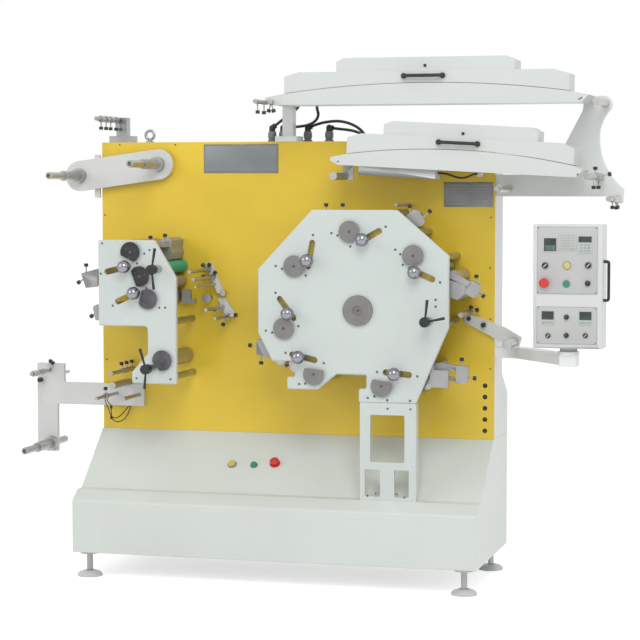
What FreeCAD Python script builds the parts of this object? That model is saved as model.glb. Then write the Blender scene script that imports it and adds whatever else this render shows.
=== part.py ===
import FreeCAD, Part
import math
import os

# A narrow-web flexographic label press with a satellite printing unit.
# Millimetres. Model coordinates: X runs right from the base's left end, Y runs back
# from the base's front face and Z runs up from the floor. The finished solids are
# moved so that the origin is at the middle of the press on the floor.

V = FreeCAD.Vector

# Base and cabinets
base_length = 1700.0
base_depth = 680.0
base_bottom = 104.0
base_front_top = 320.0
ledge_height = 360.0
lip_depth = 59.0
ledge_end = 105.0
desk_top = 583.0
foot_inset = 58.0
foot_front = 50.0
foot_back = 54.0
foot_pad_radius = 52.0
foot_stem_radius = 12.5

panel_front = 359.0
panel_thickness = 8.0
panel_left = 5.0
panel_top = 1802.0
cabinet_top_depth = 178.0
cabinet_slope_top = 842.0
cabinet_slope_foot = 749.0
port_radius = 10.0
port_pitch = 46.3
port_count = 5
port_x = base_length - 36.0
port_low = 619.0

# Outer side plates and what runs between them and the panel
plate_front = 60.0
plate_thickness = 22.0
plate_chamfer = 5.0
roll_gap_front = 15.0
roll_gap_back = 10.0
journal_radius = 9.0
journal_fit = 0.05
journal_clearance = 1.0
tie_radius = 14.0
seat_gap = 0.3

# Satellite unit
drum_x = 1204.0
drum_z = 1122.0
station_circle = 316.0
cylinder_radius = 46.0
nip_gap = 5.0
drum_rim = 18.0
drum_web = 20.0
drum_boss_radius = 60.0
drum_cap_radius = 61.0
bearing_thickness = 12.0
bearing_radius = 43.5
bearing_flat = 34.5
low_flats = {4: (84.0, 21.0), 5: (81.0, 21.0)}
station_angles = [44.3, 96.2, 146.5, 194.1, 235.1, 288.2]
station_hands = [1, 1, 1, 1, 1, -1]
slot_inner = (-52.0, -20.0)
slot_outer = (-5.0, -131.0)
slot_half_width = 13.0
knob_rests = [37.0, 39.0, 37.0, 37.0, 73.0, 55.0]
ball_radius = 27.0
ball_stand_off = 38.0
knob_stem_radius = 11.0
knob_collar_radius = 15.0
knob_shoe_radius = 20.0
knob_shoe_thickness = 7.0

# Inking rollers and ink fountains of the stations, as steps round the drum
inker_radius = 36.0
inker_step = 14.3
inker_circle = station_circle + 29.0
feeder_radius = 26.0
feeder_step = 24.0
feeder_circle = station_circle + 79.0
feeder_clearance = 3.0
fountain_step = 33.0
fountain_circle = station_circle + 122.0
fountain_front = 110.0
fountain_end = 20.0
roller_shaft_radius = 8.0

# Clamping screws with knurled heads
screw_stem = 3.0
screw_head = 8.5
screw_head_length = 13.0

# Clamping levers
lever_hub_radius = 21.0
lever_reach = 100.0
lever_spigot_radius = 8.0
lever_arm_length = 88.0
lever_arm_radius = 6.5

# Left printing unit: position and radius of its four cylinders
left_cylinders = [(243.0, 1347.0, 50.0), (283.0, 1248.0, 46.0),
                  (317.0, 1155.0, 46.0), (379.0, 904.0, 34.0)]
left_slots = [((242.0, 1292.0), (125.0, 1262.0)), ((282.0, 1187.0), (172.0, 1138.0))]
left_knob_rest = 18.0
left_disc_radius = 42.0
left_flats = [(245.0, 29.0), (201.0, 27.0), (165.0, 32.0), (221.0, 35.0)]
nip_roller = (366.0, 1282.0, 25.0)
chill_roller = (362.0, 1221.0, 25.0)

# Unwind bracket and rewind arm
bracket_thickness = 22.0
unwind_x = -226.0
unwind_z = 512.0
unwind_left = -291.0
unwind_post_right = -199.0
unwind_foot = 477.0
unwind_head = 857.0
unwind_arm_low = 682.0
unwind_arm_high = 776.0
unwind_arm_right = 196.0
unwind_reach = 300.0
arm_front = 322.0
arm_end_radius = 64.0
rewind_left = (-83.0, 1660.0)
rewind_right = (269.0, 1708.0)
rewind_reach = 345.0

# Dryer hoods
hood_front = 130.0
hood_depth = 160.0
hood_wall = 4.0
tray_front = 125.0
tray_back = 300.0
tray_height = 47.0
arch_rise = 38.0
lid_height = 84.0
lid_chamfer_x = 60.0
lid_chamfer_z = 17.0
cover_height = 55.0
cover_depth = 140.0
cover_chamfer_x = 33.0
cover_chamfer_z = 15.0
lid_seat = 2.0
hood_hinge_y = 298.0
hinge_pin_radius = 5.0
hinge_barrel_radius = 9.0
hinge_barrel_length = 60.0
upper_hood = {"x": 878.0, "z": 1944.0, "length": 1154.0, "cover": 725.0, "tilt": 0.0,
              "left_wing": 82.0, "right_wing": 79.0}
lower_hood = {"x": 1135.0, "z": 1701.0, "length": 916.0, "cover": 624.0, "tilt": 3.05,
              "left_wing": 66.0, "right_wing": 40.0}
handle_length = 157.0
handle_radius = 6.0
handle_stand_off = 24.0

# Hood carrier: column, beam and horn bracket
column_side = 46.0
column_x = 821.0
column_front = 380.0
column_flange = 98.0
column_flange_thickness = 22.0
beam_front = 312.0
beam_depth = 40.0
beam_low = 1953.0
beam_high = 1975.0
horn_front = 375.0
horn_thickness = 20.0
horn_reach = base_length + 520.0

# Swivelling control box
swivel_x = base_length + 350.0
swivel_y = 57.0
arm_low = 918.0
arm_high = 962.0
box_width = 268.0
box_depth = 135.0
box_low = 992.0
box_high = 1469.0
box_offset = 3.5
inset_thickness = 3.0
swivel_radius = 12.0
handle_low = 1178.0
handle_high = 1328.0
handle_reach = 20.0
handle_bar = 6.0

# Push buttons on the slanted desk: place along the base, share of the way up the
# desk, radius and height
desk_buttons = [(625.0, 0.458, 16.0, 12.0), (720.0, 0.458, 12.5, 12.0), (808.0, 0.496, 19.0, 24.0)]

# Name plates on the panel
brand_plate = {"x": 461.0, "z": 1672.0, "width": 325.0, "height": 120.0, "thickness": 3.0}
data_plate = {"x": base_length - 210.0, "z": 1533.0, "width": 204.0, "height": 101.0,
              "thickness": 2.0}

# Middle of the whole press, which becomes the origin
front_reach = plate_front - lever_reach
mid_x = (unwind_left + horn_reach) / 2
mid_y = (front_reach + base_depth) / 2

panel_right = base_length + 2.0
panel_back = panel_front + panel_thickness
plate_back = plate_front + plate_thickness
roll_front = plate_back + roll_gap_front
roll_back = panel_front - roll_gap_back
drum_radius = station_circle - cylinder_radius - nip_gap

os.makedirs("parts", exist_ok=True)
pieces = {}


def box(x0, y0, z0, x1, y1, z1):
    return Part.makeBox(x1 - x0, y1 - y0, z1 - z0, V(x0, y0, z0))


def rod(x, z, y0, y1, radius):
    """Round bar along Y."""
    return Part.makeCylinder(radius, y1 - y0, V(x, y0, z), V(0, 1, 0))


def turned(x, z, profile):
    """Solid turned about a line along Y; the profile lists (y, radius) pairs."""
    first = profile[0][0]
    last = profile[-1][0]
    corners = [V(x, first, z)]
    corners += [V(x + radius, y, z) for y, radius in profile]
    corners += [V(x, last, z), V(x, first, z)]
    face = Part.Face(Part.makePolygon(corners))
    return face.revolve(V(x, 0, z), V(0, 1, 0), 360)


def rounded_wire(corners):
    """Closed wire through (x, y, z, radius) corners, each one rounded by its radius."""
    edges = []
    count = len(corners)
    starts = []
    ends = []
    for i in range(count):
        here = V(*corners[i][:3])
        before = V(*corners[i - 1][:3]) - here
        after = V(*corners[(i + 1) % count][:3]) - here
        radius = corners[i][3]
        if radius <= 0:
            starts.append(here)
            ends.append(here)
            continue
        half = before.getAngle(after) / 2
        run = radius / math.tan(half)
        starts.append(here + before.normalize() * run)
        ends.append(here + after.normalize() * run)
    for i in range(count):
        here = V(*corners[i][:3])
        if corners[i][3] > 0:
            toward = (starts[i] + ends[i]) * 0.5 - here
            half = math.asin(min(1.0, (starts[i] - ends[i]).Length / 2 / (starts[i] - here).Length))
            centre_distance = corners[i][3] / math.sin(half)
            middle = here + toward.normalize() * (centre_distance - corners[i][3])
            edges.append(Part.Arc(starts[i], middle, ends[i]).toShape())
        nxt = starts[(i + 1) % count]
        if (nxt - ends[i]).Length > 1e-6:
            edges.append(Part.LineSegment(ends[i], nxt).toShape())
    return Part.Wire(edges)


def flat_plate(outline, y, thickness):
    """Plate in the XZ plane from (x, z) or (x, z, corner radius) points."""
    corners = [(p[0], y, p[1], p[2] if len(p) > 2 else 0.0) for p in outline]
    return Part.Face(rounded_wire(corners)).extrude(V(0, thickness, 0))


def long_profile(outline, x, length):
    """Profile in the YZ plane, extruded along X; points are (y, z) or (y, z, radius)."""
    corners = [(x, p[0], p[1], p[2] if len(p) > 2 else 0.0) for p in outline]
    return Part.Face(rounded_wire(corners)).extrude(V(length, 0, 0))


def slot_tool(start, end, half_width, y0, y1):
    """Straight slot with round ends whose tips are the two (x, z) points."""
    run = V(end[0] - start[0], 0, end[1] - start[1])
    unit = V(run).normalize()
    side = V(-unit.z, 0, unit.x) * half_width
    a = V(start[0], y0, start[1]) + unit * half_width
    b = V(end[0], y0, end[1]) - unit * half_width
    edges = [Part.LineSegment(a + side, b + side).toShape(),
             Part.Arc(b + side, b + unit * half_width, b - side).toShape(),
             Part.LineSegment(b - side, a - side).toShape(),
             Part.Arc(a - side, a - unit * half_width, a + side).toShape()]
    return Part.Face(Part.Wire(edges)).extrude(V(0, y1 - y0, 0))


def around(x, z, angle, distance):
    """Point at an angle and distance from (x, z)."""
    turn = math.radians(angle)
    return (x + distance * math.cos(turn), z + distance * math.sin(turn))


def station_point(index, radial, tangential):
    """Point near a print station, in steps outward and along the drum's direction."""
    angle = math.radians(station_angles[index])
    out = (math.cos(angle), math.sin(angle))
    along = (-math.sin(angle), math.cos(angle))
    side = tangential * station_hands[index]
    x = drum_x + (station_circle + radial) * out[0] + side * along[0]
    z = drum_z + (station_circle + radial) * out[1] + side * along[1]
    return (x, z)


def inking_point(index, step, distance):
    """Point of a station's inking train, a step round the drum from the station."""
    angle = station_angles[index] - step * station_hands[index]
    return around(drum_x, drum_z, angle, distance)


def slot_place(slot, distance):
    """Point on a slot's centre line, at a distance from its inner tip."""
    (x0, z0), (x1, z1) = slot
    length = math.hypot(x1 - x0, z1 - z0)
    return (x0 + (x1 - x0) * distance / length, z0 + (z1 - z0) * distance / length)


station_slots = [(station_point(i, *slot_inner), station_point(i, *slot_outer))
                 for i in range(len(station_angles))]


def fused(shapes):
    whole = shapes[0]
    for shape in shapes[1:]:
        whole = whole.fuse(shape)
    return whole.removeSplitter()


def clamp_screw(x, y, z, angle, stem):
    """Stem and knurled head of a screw that stands off at an angle in the XZ plane."""
    turn = math.radians(angle)
    way = V(math.cos(turn), 0, math.sin(turn))
    foot = V(x, y, z)
    return (Part.makeCylinder(screw_stem, stem, foot, way),
            Part.makeCylinder(screw_head, screw_head_length, foot + way * stem, way))


def collared_shaft(x, z, radius, front, back, collars=(), screws=()):
    """Shaft along Y with (y0, y1, radius) collars and (y, angle, stem) screws."""
    solids = [turned(x, z, [(front, radius - 1), (front + 1, radius), (back, radius)])]
    solids += [rod(x, z, y0, y1, r) for y0, y1, r in collars]
    heads = []
    for y, angle, length in screws:
        stem, head = clamp_screw(x, y, z, angle, length)
        solids.append(stem)
        heads.append(head)
    return [fused(solids)] + heads


def screwed_block(solids, screws):
    """Block with the heads of its (x, y, z, angle, stem) screws as solids of their own."""
    heads = []
    for screw in screws:
        stem, head = clamp_screw(*screw)
        solids = solids + [stem]
        heads.append(head)
    return [fused(solids)] + heads


def group(shapes):
    return Part.makeCompound(shapes)


# Base

def make_base():
    outline = [(0, base_bottom), (0, base_front_top, 14), (lip_depth, ledge_height, 10),
               (ledge_end, ledge_height), (panel_front, desk_top), (base_depth, desk_top),
               (base_depth, base_bottom)]
    return long_profile(outline, 0, base_length)


def make_feet():
    feet = []
    for x in (foot_inset, base_length - foot_inset):
        for y in (foot_front, base_depth - foot_back):
            pad = [V(x, y, 0), V(x + foot_pad_radius, y, 0), V(x + foot_pad_radius, y, 8),
                   V(x + foot_pad_radius - 8, y, 16), V(x + 22, y, 24), V(x + foot_stem_radius, y, 24),
                   V(x + foot_stem_radius, y, base_bottom - 8), V(x + 40, y, base_bottom - 8),
                   V(x + 40, y, base_bottom), V(x, y, base_bottom), V(x, y, 0)]
            feet.append(Part.Face(Part.makePolygon(pad)).revolve(V(x, y, 0), V(0, 0, 1), 360))
    return group(feet)


def desk_point(x, share):
    """Point on the slanted desk of the base, a share of the way up it."""
    y = ledge_end + (panel_front - ledge_end) * share
    z = ledge_height + (desk_top - ledge_height) * share
    return V(x, y, z)


def make_base_buttons():
    slope = V(0, panel_front - ledge_end, desk_top - ledge_height).normalize()
    outward = V(0, -slope.z, slope.y)
    buttons = []
    for x, share, radius, height in desk_buttons:
        foot = desk_point(x, share)
        collar = Part.makeCylinder(radius + 3, 4, foot, outward)
        top = Part.makeCylinder(radius, height, foot, outward)
        buttons.append(fused([collar, top]))
    return group(buttons)


def make_panel():
    sheet = box(panel_left, panel_front, desk_top, panel_right, panel_back, panel_top)
    for i in range(port_count):
        z = port_low + i * port_pitch
        sheet = sheet.cut(rod(port_x, z, panel_front - 1, panel_back + 1, port_radius))
    for x, z, radius in journal_places():
        sheet = sheet.cut(rod(x, z, panel_front - 1, panel_back + 1, radius + journal_fit))
    return sheet


def make_rear_cabinet():
    top_back = panel_back + cabinet_top_depth
    outline = [(panel_back, desk_top), (panel_back, panel_top), (top_back, panel_top, 8),
               (top_back, cabinet_slope_top), (base_depth, cabinet_slope_foot),
               (base_depth, desk_top)]
    return long_profile(outline, panel_left, base_length - panel_left)


# Satellite unit

def journal_places():
    places = [(drum_x, drum_z, 2 * journal_radius)]
    for angle in station_angles:
        x, z = around(drum_x, drum_z, angle, station_circle)
        places.append((x, z, journal_radius))
    for x, z, radius in left_cylinders:
        places.append((x, z, journal_radius))
    return places


octagon_outline = [(1012, 1523, 7), (1362, 1523, 7), (1572, 1343, 7), (1572, 1058, 7),
                   (1440, 753, 7), (1207, 753, 7), (1207, 808, 7), (1238, 808, 10),
                   (1238, 864, 6), (1114, 864, 8), (1035, 800, 8), (909, 800, 7),
                   (909, 850, 7), (941, 850, 10), (941, 912, 6), (846, 912, 7),
                   (786, 1026, 7), (786, 1282, 7)]
octagon_lever = (1495.0, 1085.0)
octagon_ties = [(1548, 1335), (1545, 1070), (1420, 788), (1430, 1433),
                (900, 1362), (870, 1260), (815, 1040), (930, 820)]
left_outline = [(99, 1396, 7), (343, 1396, 7), (436, 1243, 7), (436, 806, 7), (244, 806, 7),
                (244, 853, 7), (313, 929, 10), (313, 1042, 16), (99, 1042, 7)]
left_levers = [(362.0, 1279.0), (335.0, 873.0)]
left_ties = [(125, 1372), (125, 1070), (408, 1060), (410, 832), (262, 830)]


def drilled_plate(outline, slots, places, levers):
    plate = flat_plate(outline, plate_front, plate_thickness)
    front_edges = [edge for edge in plate.Edges
                   if all(abs(v.Y - plate_front) < 1e-6 for v in edge.Vertexes)]
    plate = plate.makeChamfer(plate_chamfer, front_edges)
    for slot in slots:
        plate = plate.cut(slot_tool(slot[0], slot[1], slot_half_width, plate_front - 1, plate_back + 1))
    for x, z, radius in places:
        hole = radius + journal_clearance
        plate = plate.cut(rod(x, z, plate_front - 1, plate_back + 1, hole))
    for x, z in levers:
        plate = plate.cut(rod(x, z, plate_front - 1, plate_back + 1, lever_spigot_radius + journal_fit))
    return plate


def make_octagon():
    places = journal_places()[:1 + len(station_angles)]
    return drilled_plate(octagon_outline, station_slots, places, [octagon_lever])


def make_left_plate():
    places = journal_places()[1 + len(station_angles):]
    return drilled_plate(left_outline, left_slots, places, left_levers)


def make_tie_bars():
    bars = [rod(x, z, plate_back, panel_front, tie_radius) for x, z in octagon_ties + left_ties]
    return group(bars)


def flat_disc(x, z, radius, angle, flat):
    """Bearing cover with one flat side at an angle, at a distance from its middle."""
    front = plate_front - bearing_thickness
    disc = rod(x, z, front, plate_front, radius)
    rim = [edge for edge in disc.Edges
           if len(edge.Vertexes) == 1 and abs(edge.Vertexes[0].Y - front) < 1e-6]
    disc = disc.makeChamfer(1.5, rim)
    cutter = Part.makeBox(radius, bearing_thickness + 20, 2 * radius + 4, V(flat, 0, -radius - 2))
    cutter.rotate(V(0, 0, 0), V(0, 1, 0), -angle)
    cutter.translate(V(x, front - 10, z))
    disc = disc.cut(cutter)
    return disc.cut(rod(x, z, front - 1, plate_front + 1, journal_radius + journal_fit))


def make_bearings():
    """Covers of the cylinder bearings; those beside a slot turn their flat to its knob."""
    discs = []
    for i, station in enumerate(station_angles):
        x, z = around(drum_x, drum_z, station, station_circle)
        toward = slot_place(station_slots[i], 37)
        angle = math.degrees(math.atan2(toward[1] - z, toward[0] - x))
        angle, flat = low_flats.get(i, (angle, bearing_flat))
        discs.append(flat_disc(x, z, bearing_radius, angle, flat))
    x, z = drum_x, drum_z
    front = plate_front - bearing_thickness
    cap = turned(x, z, [(front, drum_cap_radius - 3), (front + 3, drum_cap_radius),
                        (plate_front, drum_cap_radius)])
    discs.append(cap.cut(rod(x, z, front - 1, plate_front + 1, 2 * journal_radius + journal_fit)))
    for (x, z, radius), (angle, flat) in zip(left_cylinders, left_flats):
        discs.append(flat_disc(x, z, left_disc_radius, angle, flat))
    return group(discs)


def make_drum():
    r = 2 * journal_radius
    front = plate_front - bearing_thickness + 4
    web_front = (roll_front + roll_back - drum_web) / 2
    web_back = web_front + drum_web
    rim = drum_radius - drum_rim
    profile = [(front, r), (roll_front, r), (roll_front, drum_boss_radius),
               (web_front, drum_boss_radius), (web_front, rim), (roll_front, rim),
               (roll_front, drum_radius), (roll_back, drum_radius), (roll_back, rim),
               (web_back, rim), (web_back, drum_boss_radius), (roll_back, drum_boss_radius),
               (roll_back, r), (panel_back - 1, r)]
    return turned(drum_x, drum_z, profile)


def make_cylinder(x, z, radius):
    front = plate_front - bearing_thickness + 4
    profile = [(front, journal_radius - 1), (front + 1, journal_radius),
               (roll_front - 6, journal_radius), (roll_front - 6, journal_radius + 7),
               (roll_front, journal_radius + 7), (roll_front, radius - 2), (roll_front + 2, radius),
               (roll_back - 2, radius), (roll_back, radius - 2), (roll_back, journal_radius),
               (panel_back - 1, journal_radius)]
    body = turned(x, z, profile)
    centre_hole = Part.makeCone(5, 0.5, 8, V(x, front, z), V(0, 1, 0))
    return body.cut(centre_hole)


def make_throw_knob(place):
    """Ball knob on a stem that runs in a slot, held by a shoe behind the plate."""
    x, z = place
    centre = plate_front - ball_stand_off
    ball = Part.makeSphere(ball_radius, V(x, centre, z))
    collar = rod(x, z, centre + 20, plate_front - seat_gap, knob_collar_radius)
    stem = rod(x, z, centre, plate_back + seat_gap, knob_stem_radius)
    shoe = rod(x, z, plate_back + seat_gap, plate_back + seat_gap + knob_shoe_thickness,
               knob_shoe_radius)
    return fused([ball, collar, stem, shoe])


def make_lever(place, arms):
    x, z = place
    front = plate_front - lever_reach
    hub = turned(x, z, [(front, lever_hub_radius - 3), (front + 3, lever_hub_radius),
                        (front + 36, lever_hub_radius), (front + 40, lever_hub_radius - 5),
                        (plate_front - seat_gap, lever_hub_radius - 5)])
    spigot = rod(x, z, plate_front - seat_gap, plate_back - 2, lever_spigot_radius)
    solids = [hub, spigot]
    for angle, share in arms:
        turn = math.radians(angle)
        along = V(math.cos(turn), 0, math.sin(turn))
        start = V(x, front + 18, z) + along * (lever_hub_radius - 6)
        arm_run = lever_arm_length * share - lever_hub_radius + 6
        solids.append(Part.makeCone(lever_arm_radius * 0.6, lever_arm_radius * share, arm_run, start, along))
    return fused(solids)


def shafted_roller(x, z, radius, y0, y1, shaft_front):
    """Roller with its shaft running back to the panel."""
    profile = [(shaft_front, roller_shaft_radius), (y0, roller_shaft_radius), (y0, radius),
               (y1, radius), (y1, roller_shaft_radius), (panel_front, roller_shaft_radius)]
    return turned(x, z, profile)


def make_inkers():
    rollers = []
    for i in range(len(station_angles)):
        x, z = inking_point(i, inker_step, inker_circle)
        rollers.append(shafted_roller(x, z, inker_radius, roll_front, roll_back, plate_back))
        x, z = inking_point(i, feeder_step, feeder_circle)
        rollers.append(shafted_roller(x, z, feeder_radius, fountain_front + 6, roll_back,
                                      fountain_front))
    for x, z, radius in (nip_roller, chill_roller):
        rollers.append(shafted_roller(x, z, radius, roll_front, roll_back, plate_back))
    return group(rollers)


# Ink fountains in steps from each fountain's middle: blocks as deep as the web and
# end plates, both as (step behind the common front, outline), end walls before the
# feeder, arms that carry its shaft and (x, z, angle, stem) screws

fountain_shapes = [
    {"blocks": [(0, [(-67, 40, 4), (1, 18, 4), (-9, -20, 6), (-34, -41, 8), (-67, -29, 4)])],
     "ends": [(0, [(-3, 23, 4), (20, 37, 4), (58, 19, 4), (52, -12, 4), (32, -34, 4), (-12, -12, 4)])],
     "wall": [(-67, 40, 4), (1, 18, 4), (-9, -20, 6), (-34, -41, 8), (-67, -29, 4)],
     "arm": [(-66, 77, 4), (22, 30, 4), (4, 16, 4), (-66, 46, 4)],
     "screws": [(38, 26, 90, 21), (44, -6, -40, 23)]},
    {"blocks": [(0, [(-25, -25, 2), (-4, -6, 2), (2, -6, 2), (2, -52, 2)])],
     "ends": [(0, [(-25, -25, 3), (-2, -4, 3), (17, 11, 4), (40, 7, 4), (65, -40, 4), (49, -54, 3),
                   (10, -60, 3)])],
     "screws": [(0, -12, 92, 30), (50, -22, 41, 34)]},
    {"blocks": [(0, [(-30, -70, 3), (40, -70, 3), (40, -37, 3), (106, -37, 3), (106, -8, 3),
                     (-30, -8, 3)])],
     "screws": [(26, -14, 90, 26), (95, -14, 90, 26)]},
    {"blocks": [(0, [(0, -45, 3), (60, -45, 3), (60, 40, 3), (0, 40, 3)])],
     "screws": [(8, -36, 218, 16)]},
    {"blocks": [(0, [(-33, 36, 3), (50, 36, 3), (50, -30, 3), (28, -40, 3), (-2, -32, 3),
                     (-33, -23, 3)])],
     "screws": [(-28, 6, 172, 30), (-17, -22, -90, 31)]},
    {"blocks": [(-24, [(-56, -26, 3), (-50, 60, 3), (-36, 60, 3), (-36, -26, 3)])],
     "ends": [(-24, [(-42, 40, 3), (22, 39, 3), (19, -30, 3), (-62, -28, 3)]),
              (10, [(-50, 66, 3), (-10, 66, 3), (56, 56, 3), (56, 34, 3), (-50, 34, 3)]),
              (10, [(12, 14, 2), (54, 4, 2), (54, -10, 2), (12, 0, 2)]),
              (0, [(49, 58, 4), (97, 55, 4), (93, -13, 4), (47, -12, 4)])],
     "screws": [(69, 50, 90, 26), (90, 11, -5, 25)]},
]
left_block = [(3, 1255, 4), (77, 1275, 4), (77, 1210, 4), (25, 1193, 4)]
left_block_screws = [(21, 1250, 90, 33), (12, 1232, 212, 22)]
left_small_block = [(54, 1117, 3), (70, 1126, 3), (103, 1126, 3), (103, 1060, 3), (66, 1060, 3)]
left_small_screws = [(70, 1096, 216, 26)]
left_trough = [(311, 1389, 4), (345, 1404, 4), (370, 1394, 4), (366, 1361, 4), (372, 1340, 4),
               (366, 1312, 4), (342, 1312, 4), (322, 1348, 4)]
left_lug = (296.0, 118.0, 1366.0, 362.0, 1388.0)
left_lug_screws = [(304, 1380, 92, 20), (355, 1380, 72, 30)]
left_shelf = [(370, 1183, 3), (405, 1182, 3), (405, 1142, 3), (428, 1140, 2), (428, 1127, 2),
              (370, 1122, 3)]
left_trough_front = 200.0
left_shelf_front = 330.0
stop_pins = [(1347.0, 1542.0, 6.0), (881.0, 886.0, 6.0)]


def make_fountains():
    """Ink fountains with their clamping screws, cut free of the feeder rollers."""
    screw_y = fountain_front + 14
    solids = []
    for i, shape in enumerate(fountain_shapes):
        x, z = inking_point(i, fountain_step, fountain_circle)
        feeder_x, feeder_z = inking_point(i, feeder_step, feeder_circle)
        room = rod(feeder_x, feeder_z, fountain_front - 40, panel_front + 1,
                   feeder_radius + feeder_clearance)
        blocks = []
        for step, outline in shape["blocks"]:
            front = fountain_front + step
            corners = [(x + p[0], z + p[1], p[2]) for p in outline]
            blocks.append(flat_plate(corners, front, panel_front - front).cut(room))
        for step, outline in shape.get("ends", []):
            corners = [(x + p[0], z + p[1], p[2]) for p in outline]
            blocks.append(flat_plate(corners, fountain_front + step, fountain_end).cut(room))
        if "wall" in shape:
            corners = [(x + p[0], z + p[1], p[2]) for p in shape["wall"]]
            blocks.append(flat_plate(corners, fountain_front - 8, 8))
        if "arm" in shape:
            corners = [(x + p[0], z + p[1], p[2]) for p in shape["arm"]]
            shaft = rod(feeder_x, feeder_z, fountain_front - 1, fountain_front + 1, roller_shaft_radius + 1)
            blocks.append(flat_plate(corners, fountain_front - 12, 12).cut(shaft))
        screws = [(x + p[0], screw_y, z + p[1], p[2], p[3]) for p in shape["screws"]]
        solids += screwed_block(blocks, screws)
    block = flat_plate(left_block, fountain_front, panel_front - fountain_front)
    solids += screwed_block([block], [(p[0], screw_y, p[1], p[2], p[3]) for p in left_block_screws])
    block = flat_plate(left_small_block, fountain_front, panel_front - fountain_front)
    solids += screwed_block([block], [(p[0], screw_y, p[1], p[2], p[3]) for p in left_small_screws])
    block = flat_plate(left_trough, left_trough_front, panel_front - left_trough_front)
    x0, y0, z0, x1, z1 = left_lug
    lug = box(x0, y0, z0, x1, left_trough_front, z1)
    screws = [(p[0], y0 + 12, p[1], p[2], p[3]) for p in left_lug_screws]
    solids += screwed_block([block, lug], screws)
    solids.append(flat_plate(left_shelf, left_shelf_front, panel_front - left_shelf_front))
    solids += [rod(x, z, fountain_front, panel_front, radius) for x, z, radius in stop_pins]
    return group(solids)


def make_support_leg():
    left = 1212.0
    right = 1442.0
    top = octagon_outline[4][1]
    front = plate_front + 2
    plate = box(left, front, ledge_height, right, front + 18, top)
    cheeks = [box(left, front + 18, ledge_height, left + 8, front + 42, top),
              box(right - 8, front + 18, ledge_height, right, front + 42, top)]
    foot = box(left, front + 18, ledge_height, right, front + 42, ledge_height + 12)
    head = box(left, front + 18, top - 14, right, front + 42, top)
    leg = fused([plate, foot, head] + cheeks)
    windows = [(1254, 515, 1395, 705), (1232, 376, 1295, 485), (1353, 376, 1413, 485)]
    for x0, z0, x1, z1 in windows:
        opening = flat_plate([(x0, z0, 6), (x1, z0, 6), (x1, z1, 6), (x0, z1, 6)], front - 1, 20)
        leg = leg.cut(opening)
    return leg


# Unwind and rewind

def make_unwind_bracket():
    outline = [(unwind_left, unwind_foot, 3), (unwind_post_right, unwind_foot, 3),
               (unwind_post_right, unwind_arm_low, 4), (unwind_arm_right, unwind_arm_low, 3),
               (unwind_arm_right, unwind_arm_high, 3), (unwind_post_right + 31, unwind_arm_high, 4),
               (unwind_post_right + 31, unwind_head, 3), (unwind_left, unwind_head, 3)]
    front = panel_front - bracket_thickness
    plate = flat_plate(outline, front, bracket_thickness)
    return plate.cut(rod(unwind_x, unwind_z, front - 1, panel_front + 1, 15 + journal_fit))


def spindle(x, z, front, plate_y, plate_rear, rear, shaft):
    """Stepped reel spindle with a hollow tip, turning in a bracket plate."""
    face = plate_y - seat_gap
    reach = face - front
    profile = [(front, 13), (front + 3, 15), (front + 0.45 * reach, 15),
               (front + 0.45 * reach, 21), (face - 34, 21), (face - 34, 31), (face, 31),
               (face, shaft), (rear, shaft)]
    body = turned(x, z, profile)
    return body.cut(rod(x, z, front - 1, front + 24, 9))


def make_unwind_spindle():
    plate_y = panel_front - bracket_thickness
    return spindle(unwind_x, unwind_z, plate_y - unwind_reach, plate_y, panel_front, 487, 15)


def make_rewind_arm():
    (x0, z0), (x1, z1) = rewind_left, rewind_right
    run = V(x1 - x0, 0, z1 - z0).normalize()
    side = V(-run.z, 0, run.x) * arm_end_radius
    a = V(x0, arm_front, z0)
    b = V(x1, arm_front, z1)
    edges = [Part.LineSegment(a + side, b + side).toShape(),
             Part.Arc(b + side, b + run * arm_end_radius, b - side).toShape(),
             Part.LineSegment(b - side, a - side).toShape(),
             Part.Arc(a - side, a - run * arm_end_radius, a + side).toShape()]
    plate = Part.Face(Part.Wire(edges)).extrude(V(0, bracket_thickness, 0))
    back = arm_front + bracket_thickness
    backing = box(-24, back, 1642, 180, panel_front, 1726)
    flange = box(-24, back, 1568, 0, panel_front, 1750)
    arm = fused([plate, backing, flange])
    for x, z in (rewind_left, rewind_right):
        arm = arm.cut(rod(x, z, arm_front - 1, arm_front + bracket_thickness + 1, 12 + journal_fit))
    return arm


def make_rewind_spindle(place):
    x, z = place
    return spindle(x, z, arm_front - rewind_reach, arm_front, 0, arm_front + bracket_thickness + 8, 12)


# Dryer hoods, drawn in the hood's own frame: X along it from the lid's left end,
# Z up from the tray's underside; each hood is then turned by its tilt and placed.

def hood_place(shape, hood):
    placed = shape.copy()
    placed.rotate(V(0, 0, 0), V(0, 1, 0), hood["tilt"])
    placed.translate(V(hood["x"], 0, hood["z"]))
    return placed


def hood_point(hood, x, y, z):
    turn = math.radians(hood["tilt"])
    return V(hood["x"] + x * math.cos(turn) + z * math.sin(turn), y,
             hood["z"] - x * math.sin(turn) + z * math.cos(turn))


def arch_edge(length, y, z, rise, inset):
    return Part.Arc(V(inset, y, z), V(length / 2, y, z + rise), V(length - inset, y, z)).toShape()


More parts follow.
